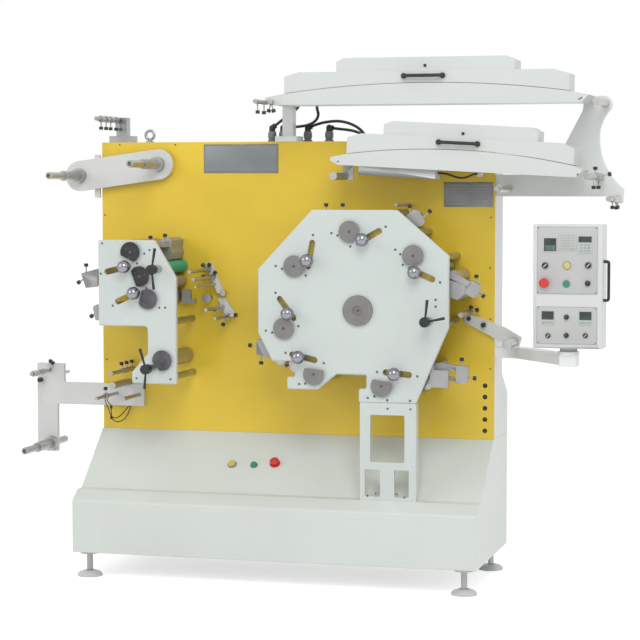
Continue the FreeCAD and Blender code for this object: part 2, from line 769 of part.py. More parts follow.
def hood_tray(hood):
    length = hood["length"]
    left = -hood["left_wing"]
    right = length + hood["right_wing"]
    seam = tray_height - lid_seat
    points = [V(0, tray_front, seam), V(left + 4, tray_front, seam - 14),
              V(left, tray_front, seam - 28), V(left + 34, tray_front, 0),
              V(right - 28, tray_front, 0), V(right, tray_front, seam - 16),
              V(length, tray_front, seam)]
    edges = [Part.LineSegment(points[i], points[i + 1]).toShape() for i in range(len(points) - 1)]
    edges.append(Part.Arc(points[-1], V(length / 2, tray_front, seam + arch_rise),
                          points[0]).toShape())
    tray = Part.Face(Part.Wire(edges)).extrude(V(0, tray_back - tray_front, 0))
    pocket = Part.makeBox(length - 120, tray_back - tray_front - 50, 90,
                          V(60, tray_front + 25, seam - 8))
    tray = tray.cut(pocket)
    for share in (0.15, 0.85):
        x = length * share
        relief = box(x - hinge_barrel_length / 2 - 3, hood_hinge_y - 14, tray_height - 16,
                     x + hinge_barrel_length / 2 + 3, tray_back + 1, tray_height + 60)
        tray = tray.cut(relief)
        pin = Part.makeCylinder(hinge_pin_radius, hinge_barrel_length + 6,
                                V(x - hinge_barrel_length / 2 - 3, hood_hinge_y, tray_height), V(1, 0, 0))
        ears = [box(x - hinge_barrel_length / 2 - 9, hood_hinge_y - 8, tray_height - 14,
                    x - hinge_barrel_length / 2 - 3, hood_hinge_y + 8, tray_height + 8),
                box(x + hinge_barrel_length / 2 + 3, hood_hinge_y - 8, tray_height - 14,
                    x + hinge_barrel_length / 2 + 9, hood_hinge_y + 8, tray_height + 8)]
        tray = tray.fuse([pin] + ears)
    return tray.removeSplitter()


def lid_face(length, y, inset):
    """Lid outline: chamfered top corners and an arched lower edge."""
    low = tray_height
    high = tray_height + lid_height - inset
    points = [V(inset, y, low), V(inset, y, high - lid_chamfer_z + inset * 0.2),
              V(lid_chamfer_x, y, high), V(length - lid_chamfer_x, y, high),
              V(length - inset, y, high - lid_chamfer_z + inset * 0.2), V(length - inset, y, low)]
    edges = [Part.LineSegment(points[i], points[i + 1]).toShape() for i in range(len(points) - 1)]
    edges.append(arch_edge(length, y, low, arch_rise, inset).reversed())
    return Part.Face(Part.Wire(Part.__sortEdges__(edges)))


def hood_lid(hood):
    length = hood["length"]
    shell = lid_face(length, hood_front, 0).extrude(V(0, hood_depth, 0))
    inside = lid_face(length, hood_front + hood_wall, hood_wall)
    inside = inside.extrude(V(0, hood_depth - 2 * hood_wall, 0))
    low_part = Part.makeBox(length - 2 * hood_wall, hood_depth - 2 * hood_wall, arch_rise + 1,
                            V(hood_wall, hood_front + hood_wall, tray_height - 1))
    shell = shell.cut(inside.fuse(low_part))
    start = (length - hood["cover"]) / 2
    top = tray_height + lid_height
    cover_y = hood_front + (hood_depth - cover_depth) / 2
    outline = [(start, top), (start, top + cover_height - cover_chamfer_z, 2),
               (start + cover_chamfer_x, top + cover_height, 4),
               (start + hood["cover"] - cover_chamfer_x, top + cover_height, 4),
               (start + hood["cover"], top + cover_height - cover_chamfer_z, 2),
               (start + hood["cover"], top)]
    cover = flat_plate(outline, cover_y, cover_depth)
    shell = shell.fuse([cover] + lid_knuckles(length) + [lid_handle(length)])
    for share in (0.15, 0.85):
        x = length * share
        bore = Part.makeCylinder(hinge_pin_radius + journal_fit, hinge_barrel_length + 2,
                                 V(x - hinge_barrel_length / 2 - 1, hood_hinge_y, tray_height), V(1, 0, 0))
        shell = shell.cut(bore)
    return shell.removeSplitter()


def lid_knuckles(length):
    solids = []
    back = hood_front + hood_depth
    for share in (0.15, 0.85):
        x = length * share - hinge_barrel_length / 2
        barrel = Part.makeCylinder(hinge_barrel_radius, hinge_barrel_length,
                                   V(x, hood_hinge_y, tray_height), V(1, 0, 0))
        web = box(x, back - hood_wall, tray_height, x + hinge_barrel_length, hood_hinge_y,
                  tray_height + hinge_barrel_radius - 1)
        riser = box(x, back - hood_wall, tray_height, x + hinge_barrel_length, back,
                    tray_height + arch_rise + 6)
        solids += [barrel, web, riser]
    return solids


def lid_handle(length):
    """Bow handle with rounded bends on the lid's front wall."""
    z = tray_height + lid_height - 20
    x0 = (length - handle_length) / 2
    y_bar = hood_front - handle_stand_off
    bend = 14
    a = V(x0, hood_front, z)
    b = V(x0, y_bar + bend, z)
    c = V(x0 + bend, y_bar, z)
    d = V(x0 + handle_length - bend, y_bar, z)
    e = V(x0 + handle_length, y_bar + bend, z)
    f = V(x0 + handle_length, hood_front, z)
    k = bend * (1 - math.sqrt(0.5))
    edges = [Part.LineSegment(a, b).toShape(),
             Part.Arc(b, V(x0 + k, y_bar + k, z), c).toShape(),
             Part.LineSegment(c, d).toShape(),
             Part.Arc(d, V(x0 + handle_length - k, y_bar + k, z), e).toShape(),
             Part.LineSegment(e, f).toShape()]
    path = Part.Wire(edges)
    ring = Part.Wire([Part.Circle(a, V(0, -1, 0), handle_radius).toShape()])
    return path.makePipeShell([ring], True, False)


def make_tray(hood):
    return hood_place(hood_tray(hood), hood)


def make_lid(hood):
    return hood_place(hood_lid(hood), hood)


lower_roller_back = 210.0


def make_lower_tray():
    tray = make_tray(lower_hood)
    lamp = Part.makeBox(314, 120, 36, V(50, tray_front + 20, -36))
    lamp = hood_place(lamp, lower_hood)
    socket = hood_place(box(527, 190, -18, 545, 220, 4), lower_hood)
    z_low = lower_hood["z"] - 2
    left_bracket = box(lower_hood["x"] + 10, tray_back, z_low + 14, lower_hood["x"] + 74, panel_front,
                       z_low + 40)
    right_x = lower_hood["x"] + 500
    drop = 500 * math.tan(math.radians(lower_hood["tilt"]))
    right_bracket = box(right_x, tray_back, z_low - drop + 10, right_x + 60, panel_front,
                        z_low - drop + 34)
    roller_bracket = hood_place(box(-31, lower_roller_back, -58, 12, lower_roller_back + 12, 2), lower_hood)
    return fused([tray, lamp, socket, left_bracket, right_bracket, roller_bracket])


def make_hood_carrier():
    half = column_side / 2
    y_mid = column_front + half
    post = box(column_x - half, column_front, panel_top, column_x + half, column_front + column_side,
               beam_high)
    flange = flat_flange(column_x, y_mid)
    beam_right = base_length + 400
    beam = box(column_x - half, beam_front, beam_low, beam_right, beam_front + beam_depth, beam_high)
    link = box(column_x - half, beam_front + beam_depth, beam_low, column_x + half, column_front,
               beam_high)
    end_link = box(beam_right - 40, beam_front + beam_depth, beam_low, beam_right, horn_front,
                   beam_high)
    seats = [box(x, tray_back, beam_low, x + 60, beam_front, beam_high) for x in (930, 1900)]
    return fused([post, flange, beam, link, end_link] + seats)


def flat_flange(x, y):
    half = column_flange / 2
    corners = [(x - half, y - half, panel_top, 8), (x + half, y - half, panel_top, 8),
               (x + half, y + half, panel_top, 8), (x - half, y + half, panel_top, 8)]
    return Part.Face(rounded_wire(corners)).extrude(V(0, 0, column_flange_thickness))


def make_horn_bracket():
    y = horn_front
    low = 1576.0
    end = horn_reach
    line = [V(base_length, y, low), V(end - 55, y, low), V(end - 35, y, 1549), V(end - 4, y, 1549),
            V(end, y, 1605)]
    edges = [Part.LineSegment(line[i], line[i + 1]).toShape() for i in range(len(line) - 1)]
    neck = V(end - 99, y, 1815)
    eye_low = V(end - 62, y, 1915)
    edges.append(Part.Arc(line[-1], V(end - 77, y, 1705), neck).toShape())
    edges.append(Part.Arc(neck, V(end - 89, y, 1868), eye_low).toShape())
    edges.append(Part.Arc(eye_low, V(end - 50, y, 1952), V(end - 90, y, 1978)).toShape())
    left = [V(end - 90, y, 1978), V(end - 160, y, 1978), V(end - 168, y, 1919), V(end - 235, y, 1790)]
    edges += [Part.LineSegment(left[i], left[i + 1]).toShape() for i in range(len(left) - 1)]
    edges.append(Part.Arc(left[-1], V(end - 285, y, 1705), V(end - 370, y, 1664)).toShape())
    edges.append(Part.LineSegment(V(end - 370, y, 1664), V(base_length, y, 1664)).toShape())
    edges.append(Part.LineSegment(V(base_length, y, 1664), line[0]).toShape())
    plate = Part.Face(Part.Wire(edges)).extrude(V(0, horn_thickness, 0))
    flange = box(base_length, horn_front + horn_thickness, 1590, base_length + 12,
                 horn_front + horn_thickness + 60, 1650)
    return plate.fuse(flange).removeSplitter()


# Web guide shafts: x, z, radius, front, back, collars as (y0, y1, radius) and clamping
# screws as (y, angle, stem)

bracket_face = panel_front - bracket_thickness
guide_bar_face = panel_front - 20.0
guide_arm_face = panel_front - 16.0
guide_shafts = [
    (lower_hood["x"] - 23, lower_hood["z"] - 44, 15, 18, lower_roller_back, (), ()),
    (base_length + 60, 1607, 10, 62, horn_front, ((100, 350, 14),), ()),
    (horn_reach - 74, 1948, 15, 80, horn_front, (), ()),
    (horn_reach - 92, 1655, 9, -27, horn_front, ((-27, 150, 14), (234, 375, 15)),
     ((205, 90, 26), (275, 12, 42), (160, -90, 36), (300, -90, 36))),
    (horn_reach - 20, 1568, 10, 53, horn_front, ((165, 345, 15),),
     ((178, -90, 27), (250, -78, 30), (335, -90, 27))),
    (806, 1954, 9, -38, tray_front, (), ((-2, -90, 35), (86, -90, 35))),
    (828, 1956, 11, 90, tray_front, (), ((114, -106, 30), (114, -74, 30))),
    (140, 841, 8, 88, panel_front, ((88, 100, 11), (205, 352, 11)),
     ((217, 90, 25), (278, 90, 25), (340, 90, 25))),
    (128, 786, 8, 138, panel_front, ((138, 334, 15),), ()),
    (74, 735, 7, 90, bracket_face, ((190, 214, 13),), ((202, 90, 26),)),
    (174, 731, 8, 144, bracket_face, (), ()),
    (-232, 827, 8, 129, bracket_face, ((150, 185, 13), (222, 256, 13)), ((326, 80, 34), (306, 54, 36))),
    (-274, 784, 10, 317, bracket_face, (), ()),
    (488, 1268, 8, 81, guide_bar_face, ((300, guide_bar_face, 11),), ((322, 139, 21), (322, 71, 15))),
    (505, 1236, 8, 78, guide_bar_face, ((300, guide_bar_face, 12),), ((322, 180, 30), (322, 52, 18))),
    (514, 1206, 5, 78, guide_bar_face, (), ()),
    (554, 1169, 12, 318, guide_bar_face, (), ()),
    (545, 1110, 8, 120, guide_bar_face, ((300, guide_bar_face, 12),), ((322, 198, 22),)),
    (572, 1073, 8, 158, guide_bar_face, ((300, guide_bar_face, 12),), ((322, 7, 32), (322, 244, 32))),
    (490, 1149, 9, 296, panel_front, ((296, 308, 20),), ()),
    (1602, 1105, 11, 150, guide_arm_face, (), ((314, 62, 18), (334, 17, 27))),
    (1600, 1078, 8, 328, guide_arm_face, (), ()),
    (1661, 1054, 10, 322, guide_arm_face, (), ()),
    (1783, 987, 20, 190, guide_arm_face, (), ()),
]
rear_stub = (-212.0, 807.0, 7.0, 498.0)


def make_guide_rollers():
    solids = []
    for shaft in guide_shafts:
        solids += collared_shaft(*shaft)
    x, z, radius, back = rear_stub
    solids.append(rod(x, z, panel_front, back, radius))
    return group(solids)


def make_guide_brackets():
    """Slanted guide bars in the middle and the guide arm at the right edge."""
    upper = flat_plate([(470, 1296, 5), (499, 1296, 5), (552, 1170, 5), (524, 1166, 5)],
                       guide_bar_face, panel_front - guide_bar_face)
    lower = flat_plate([(524, 1148, 5), (552, 1152, 5), (606, 1076, 5), (566, 1060, 5)],
                       guide_bar_face, panel_front - guide_bar_face)
    arm = flat_plate([(1580, 1088, 4), (1603, 1094, 5), (1640, 1084, 8), (1748, 1045, 8),
                      (1816, 1005, 5), (1805, 966, 5), (1722, 988, 8), (1682, 1013, 8), (1580, 1063, 4)],
                     guide_arm_face, panel_front - guide_arm_face)
    return group([upper, lower, arm])


post_x = 78.5
post_y = 420.0
post_side = 46.0
post_foot = {"left": 30.0, "right": 128.0, "depth": 80.0, "height": 28.0}
post_height = 106.0
post_shaft = (64.0, 95.0, 9.0, 138.0)
post_collars = (196.0, 254.0, 307.0, 372.0)


def make_roller_post():
    """Post at the panel's top left corner that holds a shaft with clamp collars."""
    half = post_side / 2
    foot = box(post_foot["left"], post_y - post_foot["depth"] / 2, panel_top, post_foot["right"],
               post_y + post_foot["depth"] / 2, panel_top + post_foot["height"])
    post = box(post_x - half, post_y - half, panel_top, post_x + half, post_y + half,
               panel_top + post_height)
    x, rise, radius, front = post_shaft
    collars = [(y - 9, y + 9, 14) for y in post_collars]
    screws = [(y, -90, 32) for y in post_collars]
    shaft = collared_shaft(x, panel_top + rise, radius, front, post_y - half, collars, screws)
    return group([fused([foot, post, shaft[0]])] + shaft[1:])


def make_name_plates():
    plates = []
    for plate in (brand_plate, data_plate):
        plates.append(box(plate["x"], panel_front - plate["thickness"], plate["z"],
                          plate["x"] + plate["width"], panel_front, plate["z"] + plate["height"]))
    return group(plates)


def make_lifting_eye():
    x = 192.0
    y = 440.0
    ring = Part.makeTorus(19, 6, V(x, y, panel_top + 32), V(0, 1, 0))
    shank = Part.makeCylinder(9, 14, V(x, y, panel_top), V(0, 0, 1))
    collar = Part.makeCylinder(17, 6, V(x, y, panel_top), V(0, 0, 1))
    return fused([collar, shank, ring])


# Cable glands and hoses between the cabinet and the hoods

gland_y = 482.0
gland_places = [724.0, 772.0, 880.0, 973.0]
gland_ways = [(0.80, -0.05, 0.60), (0.993, -0.10, 0.06), (0.93, -0.20, 0.30), (0.97, -0.20, -0.14)]
gland_body = 46.0
gland_head_rise = 60.0
gland_head_radius = 13.0
gland_nozzle = 18.0
gland_nozzle_radius = 11.5
hose_radius = 6.0
lamp_cable_radius = 4.0


def gland_head(index):
    """Middle of a gland's elbow head and the way in which its hose leaves."""
    return V(gland_places[index], gland_y, panel_top + gland_head_rise), V(*gland_ways[index]).normalize()


def make_glands():
    glands = []
    for index, x in enumerate(gland_places):
        z = panel_top
        points = [V(x, gland_y, z), V(x + 19, gland_y, z), V(x + 19, gland_y, z + 8),
                  V(x + 14, gland_y, z + 10), V(x + 18, gland_y, z + 22), V(x + 18, gland_y, z + 34),
                  V(x + 15, gland_y, z + gland_body), V(x, gland_y, z + gland_body), V(x, gland_y, z)]
        glands.append(Part.Face(Part.makePolygon(points)).revolve(V(x, gland_y, z), V(0, 0, 1), 360))
        middle, way = gland_head(index)
        neck = Part.makeCylinder(gland_head_radius, gland_head_rise - gland_body,
                                 V(x, gland_y, z + gland_body), V(0, 0, 1))
        ball = Part.makeSphere(gland_head_radius, middle)
        nozzle = Part.makeCylinder(gland_nozzle_radius, gland_nozzle, middle, way)
        glands.append(fused([neck, ball, nozzle]))
    return group(glands)


def from_gland(index, first_run, points):
    """Route that leaves a gland's nozzle squarely and goes on through the points."""
    middle, way = gland_head(index)
    start = middle + way * gland_nozzle
    turn = start + way * first_run
    return [tuple(start), tuple(turn)] + points


def hose(points, radius):
    """Round hose along straight runs joined by tangent arcs."""
    places = [V(*p) for p in points]
    edges = []
    radii = []
    start = places[0]
    for i in range(1, len(places) - 1):
        before = places[i - 1] - places[i]
        after = places[i + 1] - places[i]
        run = 0.45 * min(before.Length, after.Length)
        turn = math.pi - before.getAngle(after)
        bend = run / math.tan(turn / 2)
        radii.append(bend)
        a = places[i] + V(before).normalize() * run
        b = places[i] + V(after).normalize() * run
        inward = (V(before).normalize() + V(after).normalize()).normalize()
        middle = places[i] + inward * (bend / math.cos(turn / 2) - bend)
        edges.append(Part.LineSegment(start, a).toShape())
        edges.append(Part.Arc(a, middle, b).toShape())
        start = b
    edges.append(Part.LineSegment(start, places[-1]).toShape())
    path = Part.Wire(edges)
    first = places[1] - places[0]
    ring = Part.Wire([Part.Circle(places[0], first, radius).toShape()])
    tube = path.makePipeShell([ring], True, False)
    print("hose length %.0f, smallest bend %.0f, volume share %.4f" % (
        path.Length, min(radii), tube.Volume / (math.pi * radius ** 2 * path.Length)))
    return tube


bracket_top = lower_hood["z"] + 38
beam_back = beam_front + beam_depth
beam_middle = (beam_low + beam_high) / 2
hose_routes = {
    "hose_1": from_gland(0, 28, [(788, 472, 1908), (816, 463, 1925), (840, 448, 1939),
                                 (858, 421, 1951), (867, 394, 1960), (870, 372, beam_middle),
                                 (870, beam_back, beam_middle)]),
    "hose_2": from_gland(1, 30, [(850, 467, 1867), (880, 451, 1870), (907, 430, 1876),
                                 (931, 405, 1885), (950, 378, 1898), (961, 353, 1914),
                                 (962, 339, 1925), (960, 333, 1939), (960, 333, beam_low)]),
    "hose_3": from_gland(2, 26, [(948, 465, 1882), (980, 454, 1886), (1013, 440, 1888),
                                 (1046, 424, 1885), (1079, 407, 1877), (1110, 389, 1865),
                                 (1138, 371, 1848), (1160, 353, 1826), (1173, 340, 1801),
                                 (1179, 334, 1775), (1180, 333, 1757), (1180, 333, bracket_top)]),
    "hose_4": from_gland(3, 22, [(1036, 466, 1854), (1062, 452, 1851), (1087, 435, 1847),
                                 (1110, 415, 1841), (1128, 396, 1836), (1141, 374, 1827),
                                 (1150, 352, 1814), (1155, 341, 1793), (1156, 334, 1764),
                                 (1156, 334, bracket_top)]),
}
lamp_route = [(364, 205, -12), (384, 205, -12), (407, 205, -15), (429, 206, -22), (452, 207, -27),
              (476, 207, -25), (497, 206, -15), (512, 205, -8), (527, 205, -8)]

# Control box on its arm

def make_control_arm():
    """Bent channel arm from the cabinet's side to the swivel."""
    root_front = panel_back + 3
    root_back = root_front + 50
    bend = base_length + 90
    outline = [(base_length, root_front, 0), (bend, root_front, 30), (swivel_x - 34, swivel_y + 28, 12),
               (swivel_x - 34, swivel_y - 35, 8), (swivel_x + 35, swivel_y - 35, 8),
               (swivel_x + 35, swivel_y + 50, 12), (bend + 30, root_back, 30), (base_length, root_back, 0)]
    corners = [(x, y, arm_low, r) for x, y, r in outline]
    arm = Part.Face(rounded_wire(corners)).extrude(V(0, 0, arm_high - arm_low))
    hub = Part.makeCylinder(42, 14, V(swivel_x, swivel_y, arm_high), V(0, 0, 1))
    arm = arm.fuse(hub)
    bore = Part.makeCylinder(swivel_radius + journal_fit, 60, V(swivel_x, swivel_y, arm_high - 40),
                             V(0, 0, 1))
    return arm.cut(bore)


def make_control_box():
    x0 = swivel_x + box_offset - box_width / 2
    y0 = swivel_y - box_depth / 2
    body = box(x0, y0, box_low, x0 + box_width, y0 + box_depth, box_high)
    edges = [e for e in body.Edges if e.Length > 400]
    body = body.makeFillet(8, edges)
    foot = Part.makeCylinder(34, box_low - arm_high - 14 - seat_gap,
                             V(swivel_x, swivel_y, arm_high + 14 + seat_gap), V(0, 0, 1))
    pin = Part.makeCylinder(swivel_radius, 50, V(swivel_x, swivel_y, arm_high - 30), V(0, 0, 1))
    panels = [box(x0 + 15, y0 - inset_thickness, low, x0 + box_width - 18, y0, high)
              for low, high in ((1203, 1463), (1009, 1154))]
    return fused([body, foot, pin] + panels)


def make_box_handle():
    x0 = swivel_x + box_offset + box_width / 2
    y = swivel_y - 30
    low = handle_low
    high = handle_high
    reach = handle_reach
    bend = 13.0
    k = bend * (1 - math.sqrt(0.5))
    edges = [Part.LineSegment(V(x0, y, low), V(x0 + reach - bend, y, low)).toShape(),
             Part.Arc(V(x0 + reach - bend, y, low), V(x0 + reach - k, y, low + k),
                      V(x0 + reach, y, low + bend)).toShape(),
             Part.LineSegment(V(x0 + reach, y, low + bend), V(x0 + reach, y, high - bend)).toShape(),
             Part.Arc(V(x0 + reach, y, high - bend), V(x0 + reach - k, y, high - k),
                      V(x0 + reach - bend, y, high)).toShape(),
             Part.LineSegment(V(x0 + reach - bend, y, high), V(x0, y, high)).toShape()]
    ring = Part.Wire([Part.Circle(V(x0, y, low), V(1, 0, 0), handle_bar).toShape()])
    return Part.Wire(edges).makePipeShell([ring], True, False)


# Controls in steps from the box's left side: buttons as (x, z, radius, height) and
# displays as (x, z, width, height)

box_buttons = [(47.5, 1312, 14, 10), (132.5, 1313, 16, 10), (214.5, 1314, 14, 10), (45.5, 1245, 19, 24),
               (130.5, 1242, 15, 10), (212.5, 1245, 11, 14), (131.5, 1114, 10, 14),
               (131.5, 1043, 10, 14), (60.5, 1041, 11, 10), (205.5, 1044, 11, 10)]
box_displays = [(42.5, 1368, 48, 50), (176.5, 1360, 49, 65), (101.5, 1370, 66, 75), (36.5, 1106, 45, 30),
                (182.5, 1106, 45, 30)]


def make_box_controls():
    """Push buttons, switches and displays on the front of the control box."""
    x0 = swivel_x + box_offset - box_width / 2
    y0 = swivel_y - box_depth / 2 - inset_thickness
    solids = []
    for x, z, radius, height in box_buttons:
        solids.append(Part.makeCylinder(radius, height, V(x0 + x, y0, z), V(0, -1, 0)))
    for x, z, width, height in box_displays:
        solids.append(box(x0 + x, y0 - 3, z, x0 + x + width, y0, z + height))
    return group(solids)


pieces["base_cabinet"] = make_base()
pieces["levelling_feet"] = make_feet()
pieces["base_buttons"] = make_base_buttons()
pieces["main_panel"] = make_panel()
pieces["rear_cabinet"] = make_rear_cabinet()
pieces["octagon_plate"] = make_octagon()
pieces["left_plate"] = make_left_plate()
pieces["tie_bars"] = make_tie_bars()
pieces["bearing_discs"] = make_bearings()
pieces["support_leg"] = make_support_leg()
pieces["ink_rollers"] = make_inkers()
pieces["ink_fountains"] = make_fountains()
pieces["impression_drum"] = make_drum()
for number, angle in enumerate(station_angles, 1):
    x, z = around(drum_x, drum_z, angle, station_circle)
    pieces["plate_cylinder_%d" % number] = make_cylinder(x, z, cylinder_radius)
    place = slot_place(station_slots[number - 1], knob_rests[number - 1])
    pieces["throw_knob_%d" % number] = make_throw_knob(place)
for number, (x, z, radius) in enumerate(left_cylinders, 1):
    pieces["left_cylinder_%d" % number] = make_cylinder(x, z, radius)
for number, slot in enumerate(left_slots, 1):
    pieces["left_knob_%d" % number] = make_throw_knob(slot_place(slot, left_knob_rest))
pieces["clamp_lever"] = make_lever(octagon_lever, ((84, 1.0), (12, 0.92)))
pieces["left_lever_upper"] = make_lever(left_levers[0], ((81, 1.0), (-84, 0.92)))
pieces["left_lever_lower"] = make_lever(left_levers[1], ((107, 1.0), (-95, 0.92)))
pieces["unwind_bracket"] = make_unwind_bracket()
pieces["unwind_spindle"] = make_unwind_spindle()
pieces["rewind_arm"] = make_rewind_arm()
pieces["rewind_spindle_left"] = make_rewind_spindle(rewind_left)
pieces["rewind_spindle_right"] = make_rewind_spindle(rewind_right)
pieces["upper_tray"] = make_tray(upper_hood)
pieces["upper_lid"] = make_lid(upper_hood)
pieces["lower_tray"] = make_lower_tray()
pieces["lower_lid"] = make_lid(lower_hood)
pieces["hood_carrier"] = make_hood_carrier()
pieces["horn_bracket"] = make_horn_bracket()
pieces["guide_rollers"] = make_guide_rollers()
pieces["guide_brackets"] = make_guide_brackets()
pieces["roller_post"] = make_roller_post()
pieces["name_plates"] = make_name_plates()
pieces["lifting_eye"] = make_lifting_eye()
pieces["cable_glands"] = make_glands()
for name, route in hose_routes.items():
    pieces[name] = hose(route, hose_radius)
pieces["lamp_cable"] = hose([tuple(hood_point(lower_hood, *p)) for p in lamp_route], lamp_cable_radius)
pieces["control_arm"] = make_control_arm()
pieces["control_box"] = make_control_box()
pieces["box_handle"] = make_box_handle()
pieces["box_controls"] = make_box_controls()

for name, shape in pieces.items():
    placed = shape.copy()
    placed.translate(V(-mid_x, -mid_y, 0))
    placed.exportStep("parts/%s.step" % name)

print("%d pieces written" % len(pieces))
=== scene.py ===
import bpy
import bmesh
import math
from mathutils import Matrix, Vector


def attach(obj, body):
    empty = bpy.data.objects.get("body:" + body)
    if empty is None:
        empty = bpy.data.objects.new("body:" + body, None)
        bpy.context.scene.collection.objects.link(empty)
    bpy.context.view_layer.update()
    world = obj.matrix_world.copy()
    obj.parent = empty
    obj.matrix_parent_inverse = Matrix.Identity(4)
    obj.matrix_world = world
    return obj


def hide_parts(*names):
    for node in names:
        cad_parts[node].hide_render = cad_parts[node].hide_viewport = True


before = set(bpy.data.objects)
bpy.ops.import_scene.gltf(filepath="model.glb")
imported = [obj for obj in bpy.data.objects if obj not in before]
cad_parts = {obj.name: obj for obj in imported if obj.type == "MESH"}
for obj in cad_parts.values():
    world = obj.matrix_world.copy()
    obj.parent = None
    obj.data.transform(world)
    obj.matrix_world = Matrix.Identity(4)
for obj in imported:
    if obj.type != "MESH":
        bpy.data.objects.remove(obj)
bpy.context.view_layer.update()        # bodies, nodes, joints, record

scene = bpy.context.scene
print("frame loaded")

# The press was drawn from its base's left end and front face; this moves such a
# place, in millimetres, into the frame
middle = {"x": 964.5, "y": 320.0}
# front faces of the two plates, the leg, the panel, the lids and their covers, and
# the back of the plates; pieces on them keep a seat gap
fronts = {"plate": 60.0, "leg": 62.0, "panel": 359.0, "tray": 125.0, "lid": 130.0, "cover": 140.0}
plateBack = 82.0
seatGap = 0.3


def place(x, y, z):
    return Vector(((x - middle["x"]) / 1000, (y - middle["y"]) / 1000, z / 1000))


# Camera, floor and light

cameraSet = {"x": 3251.5, "y": -8078.9, "z": 1626.0, "yaw": 15.155, "pitch": 3.696, "lens": 118.44,
             "sensor": 36, "reach": 100}
floorSet = {"half": 30.0, "paper": 0.88, "lift": 0.56}
worldSet = {"fill": 0.6}
# lamps: where they stand, where they look, size and power
lampSet = {
    "key": ((1.6, -4.4, 4.8), (0.1, 0.0, 1.0), 3.0, 121),
    "side": ((5.4, -0.8, 2.6), (0.6, 0.0, 1.0), 3.2, 30),
    "left": ((-4.2, -3.6, 3.2), (0.0, 0.0, 1.0), 3.0, 52),
}


def makeCamera():
    lens = bpy.data.cameras.new("photoCamera")
    lens.lens = cameraSet["lens"]
    lens.sensor_width = cameraSet["sensor"]
    lens.clip_end = cameraSet["reach"]
    camera = bpy.data.objects.new("photoCamera", lens)
    camera.location = place(cameraSet["x"], cameraSet["y"], cameraSet["z"])
    camera.rotation_euler = (math.radians(90 - cameraSet["pitch"]), 0, math.radians(cameraSet["yaw"]))
    scene.collection.objects.link(camera)
    scene.camera = camera


def mathNode(tree, operation, *given):
    # each input is linked, or set where it is a plain number
    node = tree.nodes.new("ShaderNodeMath")
    node.operation = operation
    for socket, value in zip(node.inputs, given):
        if isinstance(value, bpy.types.NodeSocket):
            tree.links.new(value, socket)
        else:
            socket.default_value = value
    return node.outputs[0]


def seenDirectly(tree):
    # 1 for rays that show the backdrop: straight ones, reflections and through glass
    rays = tree.nodes.new("ShaderNodeLightPath").outputs
    shown = mathNode(tree, "MAXIMUM", rays["Is Camera Ray"], rays["Is Glossy Ray"])
    return mathNode(tree, "MAXIMUM", shown, rays["Is Transmission Ray"])


def mixShown(tree, hidden, shown, target):
    mix = tree.nodes.new("ShaderNodeMixShader")
    for start, end in ((seenDirectly(tree), mix.inputs[0]), (hidden.outputs[0], mix.inputs[1]),
                       (shown.outputs[0], mix.inputs[2]), (mix.outputs[0], target.inputs["Surface"])):
        tree.links.new(start, end)


def makeFloor():
    bm = bmesh.new()
    bmesh.ops.create_grid(bm, x_segments=1, y_segments=1, size=floorSet["half"])
    mesh = bpy.data.meshes.new("studioFloor")
    bm.to_mesh(mesh)
    bm.free()
    floor = bpy.data.objects.new("studioFloor", mesh)
    scene.collection.objects.link(floor)
    paint = bpy.data.materials.new("floorPaper")
    paint.use_nodes = True
    tree = paint.node_tree
    tree.nodes.clear()
    out = tree.nodes.new("ShaderNodeOutputMaterial")
    matte = tree.nodes.new("ShaderNodeBsdfDiffuse")
    level = floorSet["paper"]
    matte.inputs["Color"].default_value = (level, level, level, 1)
    glow = tree.nodes.new("ShaderNodeEmission")
    glow.inputs["Strength"].default_value = floorSet["lift"]
    both = tree.nodes.new("ShaderNodeAddShader")
    tree.links.new(matte.outputs[0], both.inputs[0])
    tree.links.new(glow.outputs[0], both.inputs[1])
    mixShown(tree, matte, both, out)
    mesh.materials.append(paint)


def makeWorld():
    world = bpy.data.worlds.new("studio")
    world.use_nodes = True
    scene.world = world
    tree = world.node_tree
    fill = tree.nodes["Background"]
    fill.inputs["Color"].default_value = (1, 1, 1, 1)
    fill.inputs["Strength"].default_value = worldSet["fill"]
    white = tree.nodes.new("ShaderNodeBackground")
    white.inputs["Color"].default_value = (1, 1, 1, 1)
    mixShown(tree, fill, white, tree.nodes["World Output"])


def makeLamps():
    for name, (spot, look, size, power) in lampSet.items():
        light = bpy.data.lights.new(name, "AREA")
        light.energy = power
        light.size = size
        holder = bpy.data.objects.new(name, light)
        holder.location = spot
        aim = Vector(look) - Vector(spot)
        holder.rotation_euler = aim.to_track_quat("-Z", "Y").to_euler()
        scene.collection.objects.link(holder)


makeCamera()
makeFloor()
makeWorld()
makeLamps()
scene.view_settings.view_transform = "Standard"
print("studio ready")

# Finishes: base colour, roughness, how metallic, scale and depth of the fine grain,
# scale and amount of the slow colour change, and lathe rings (0 for none)

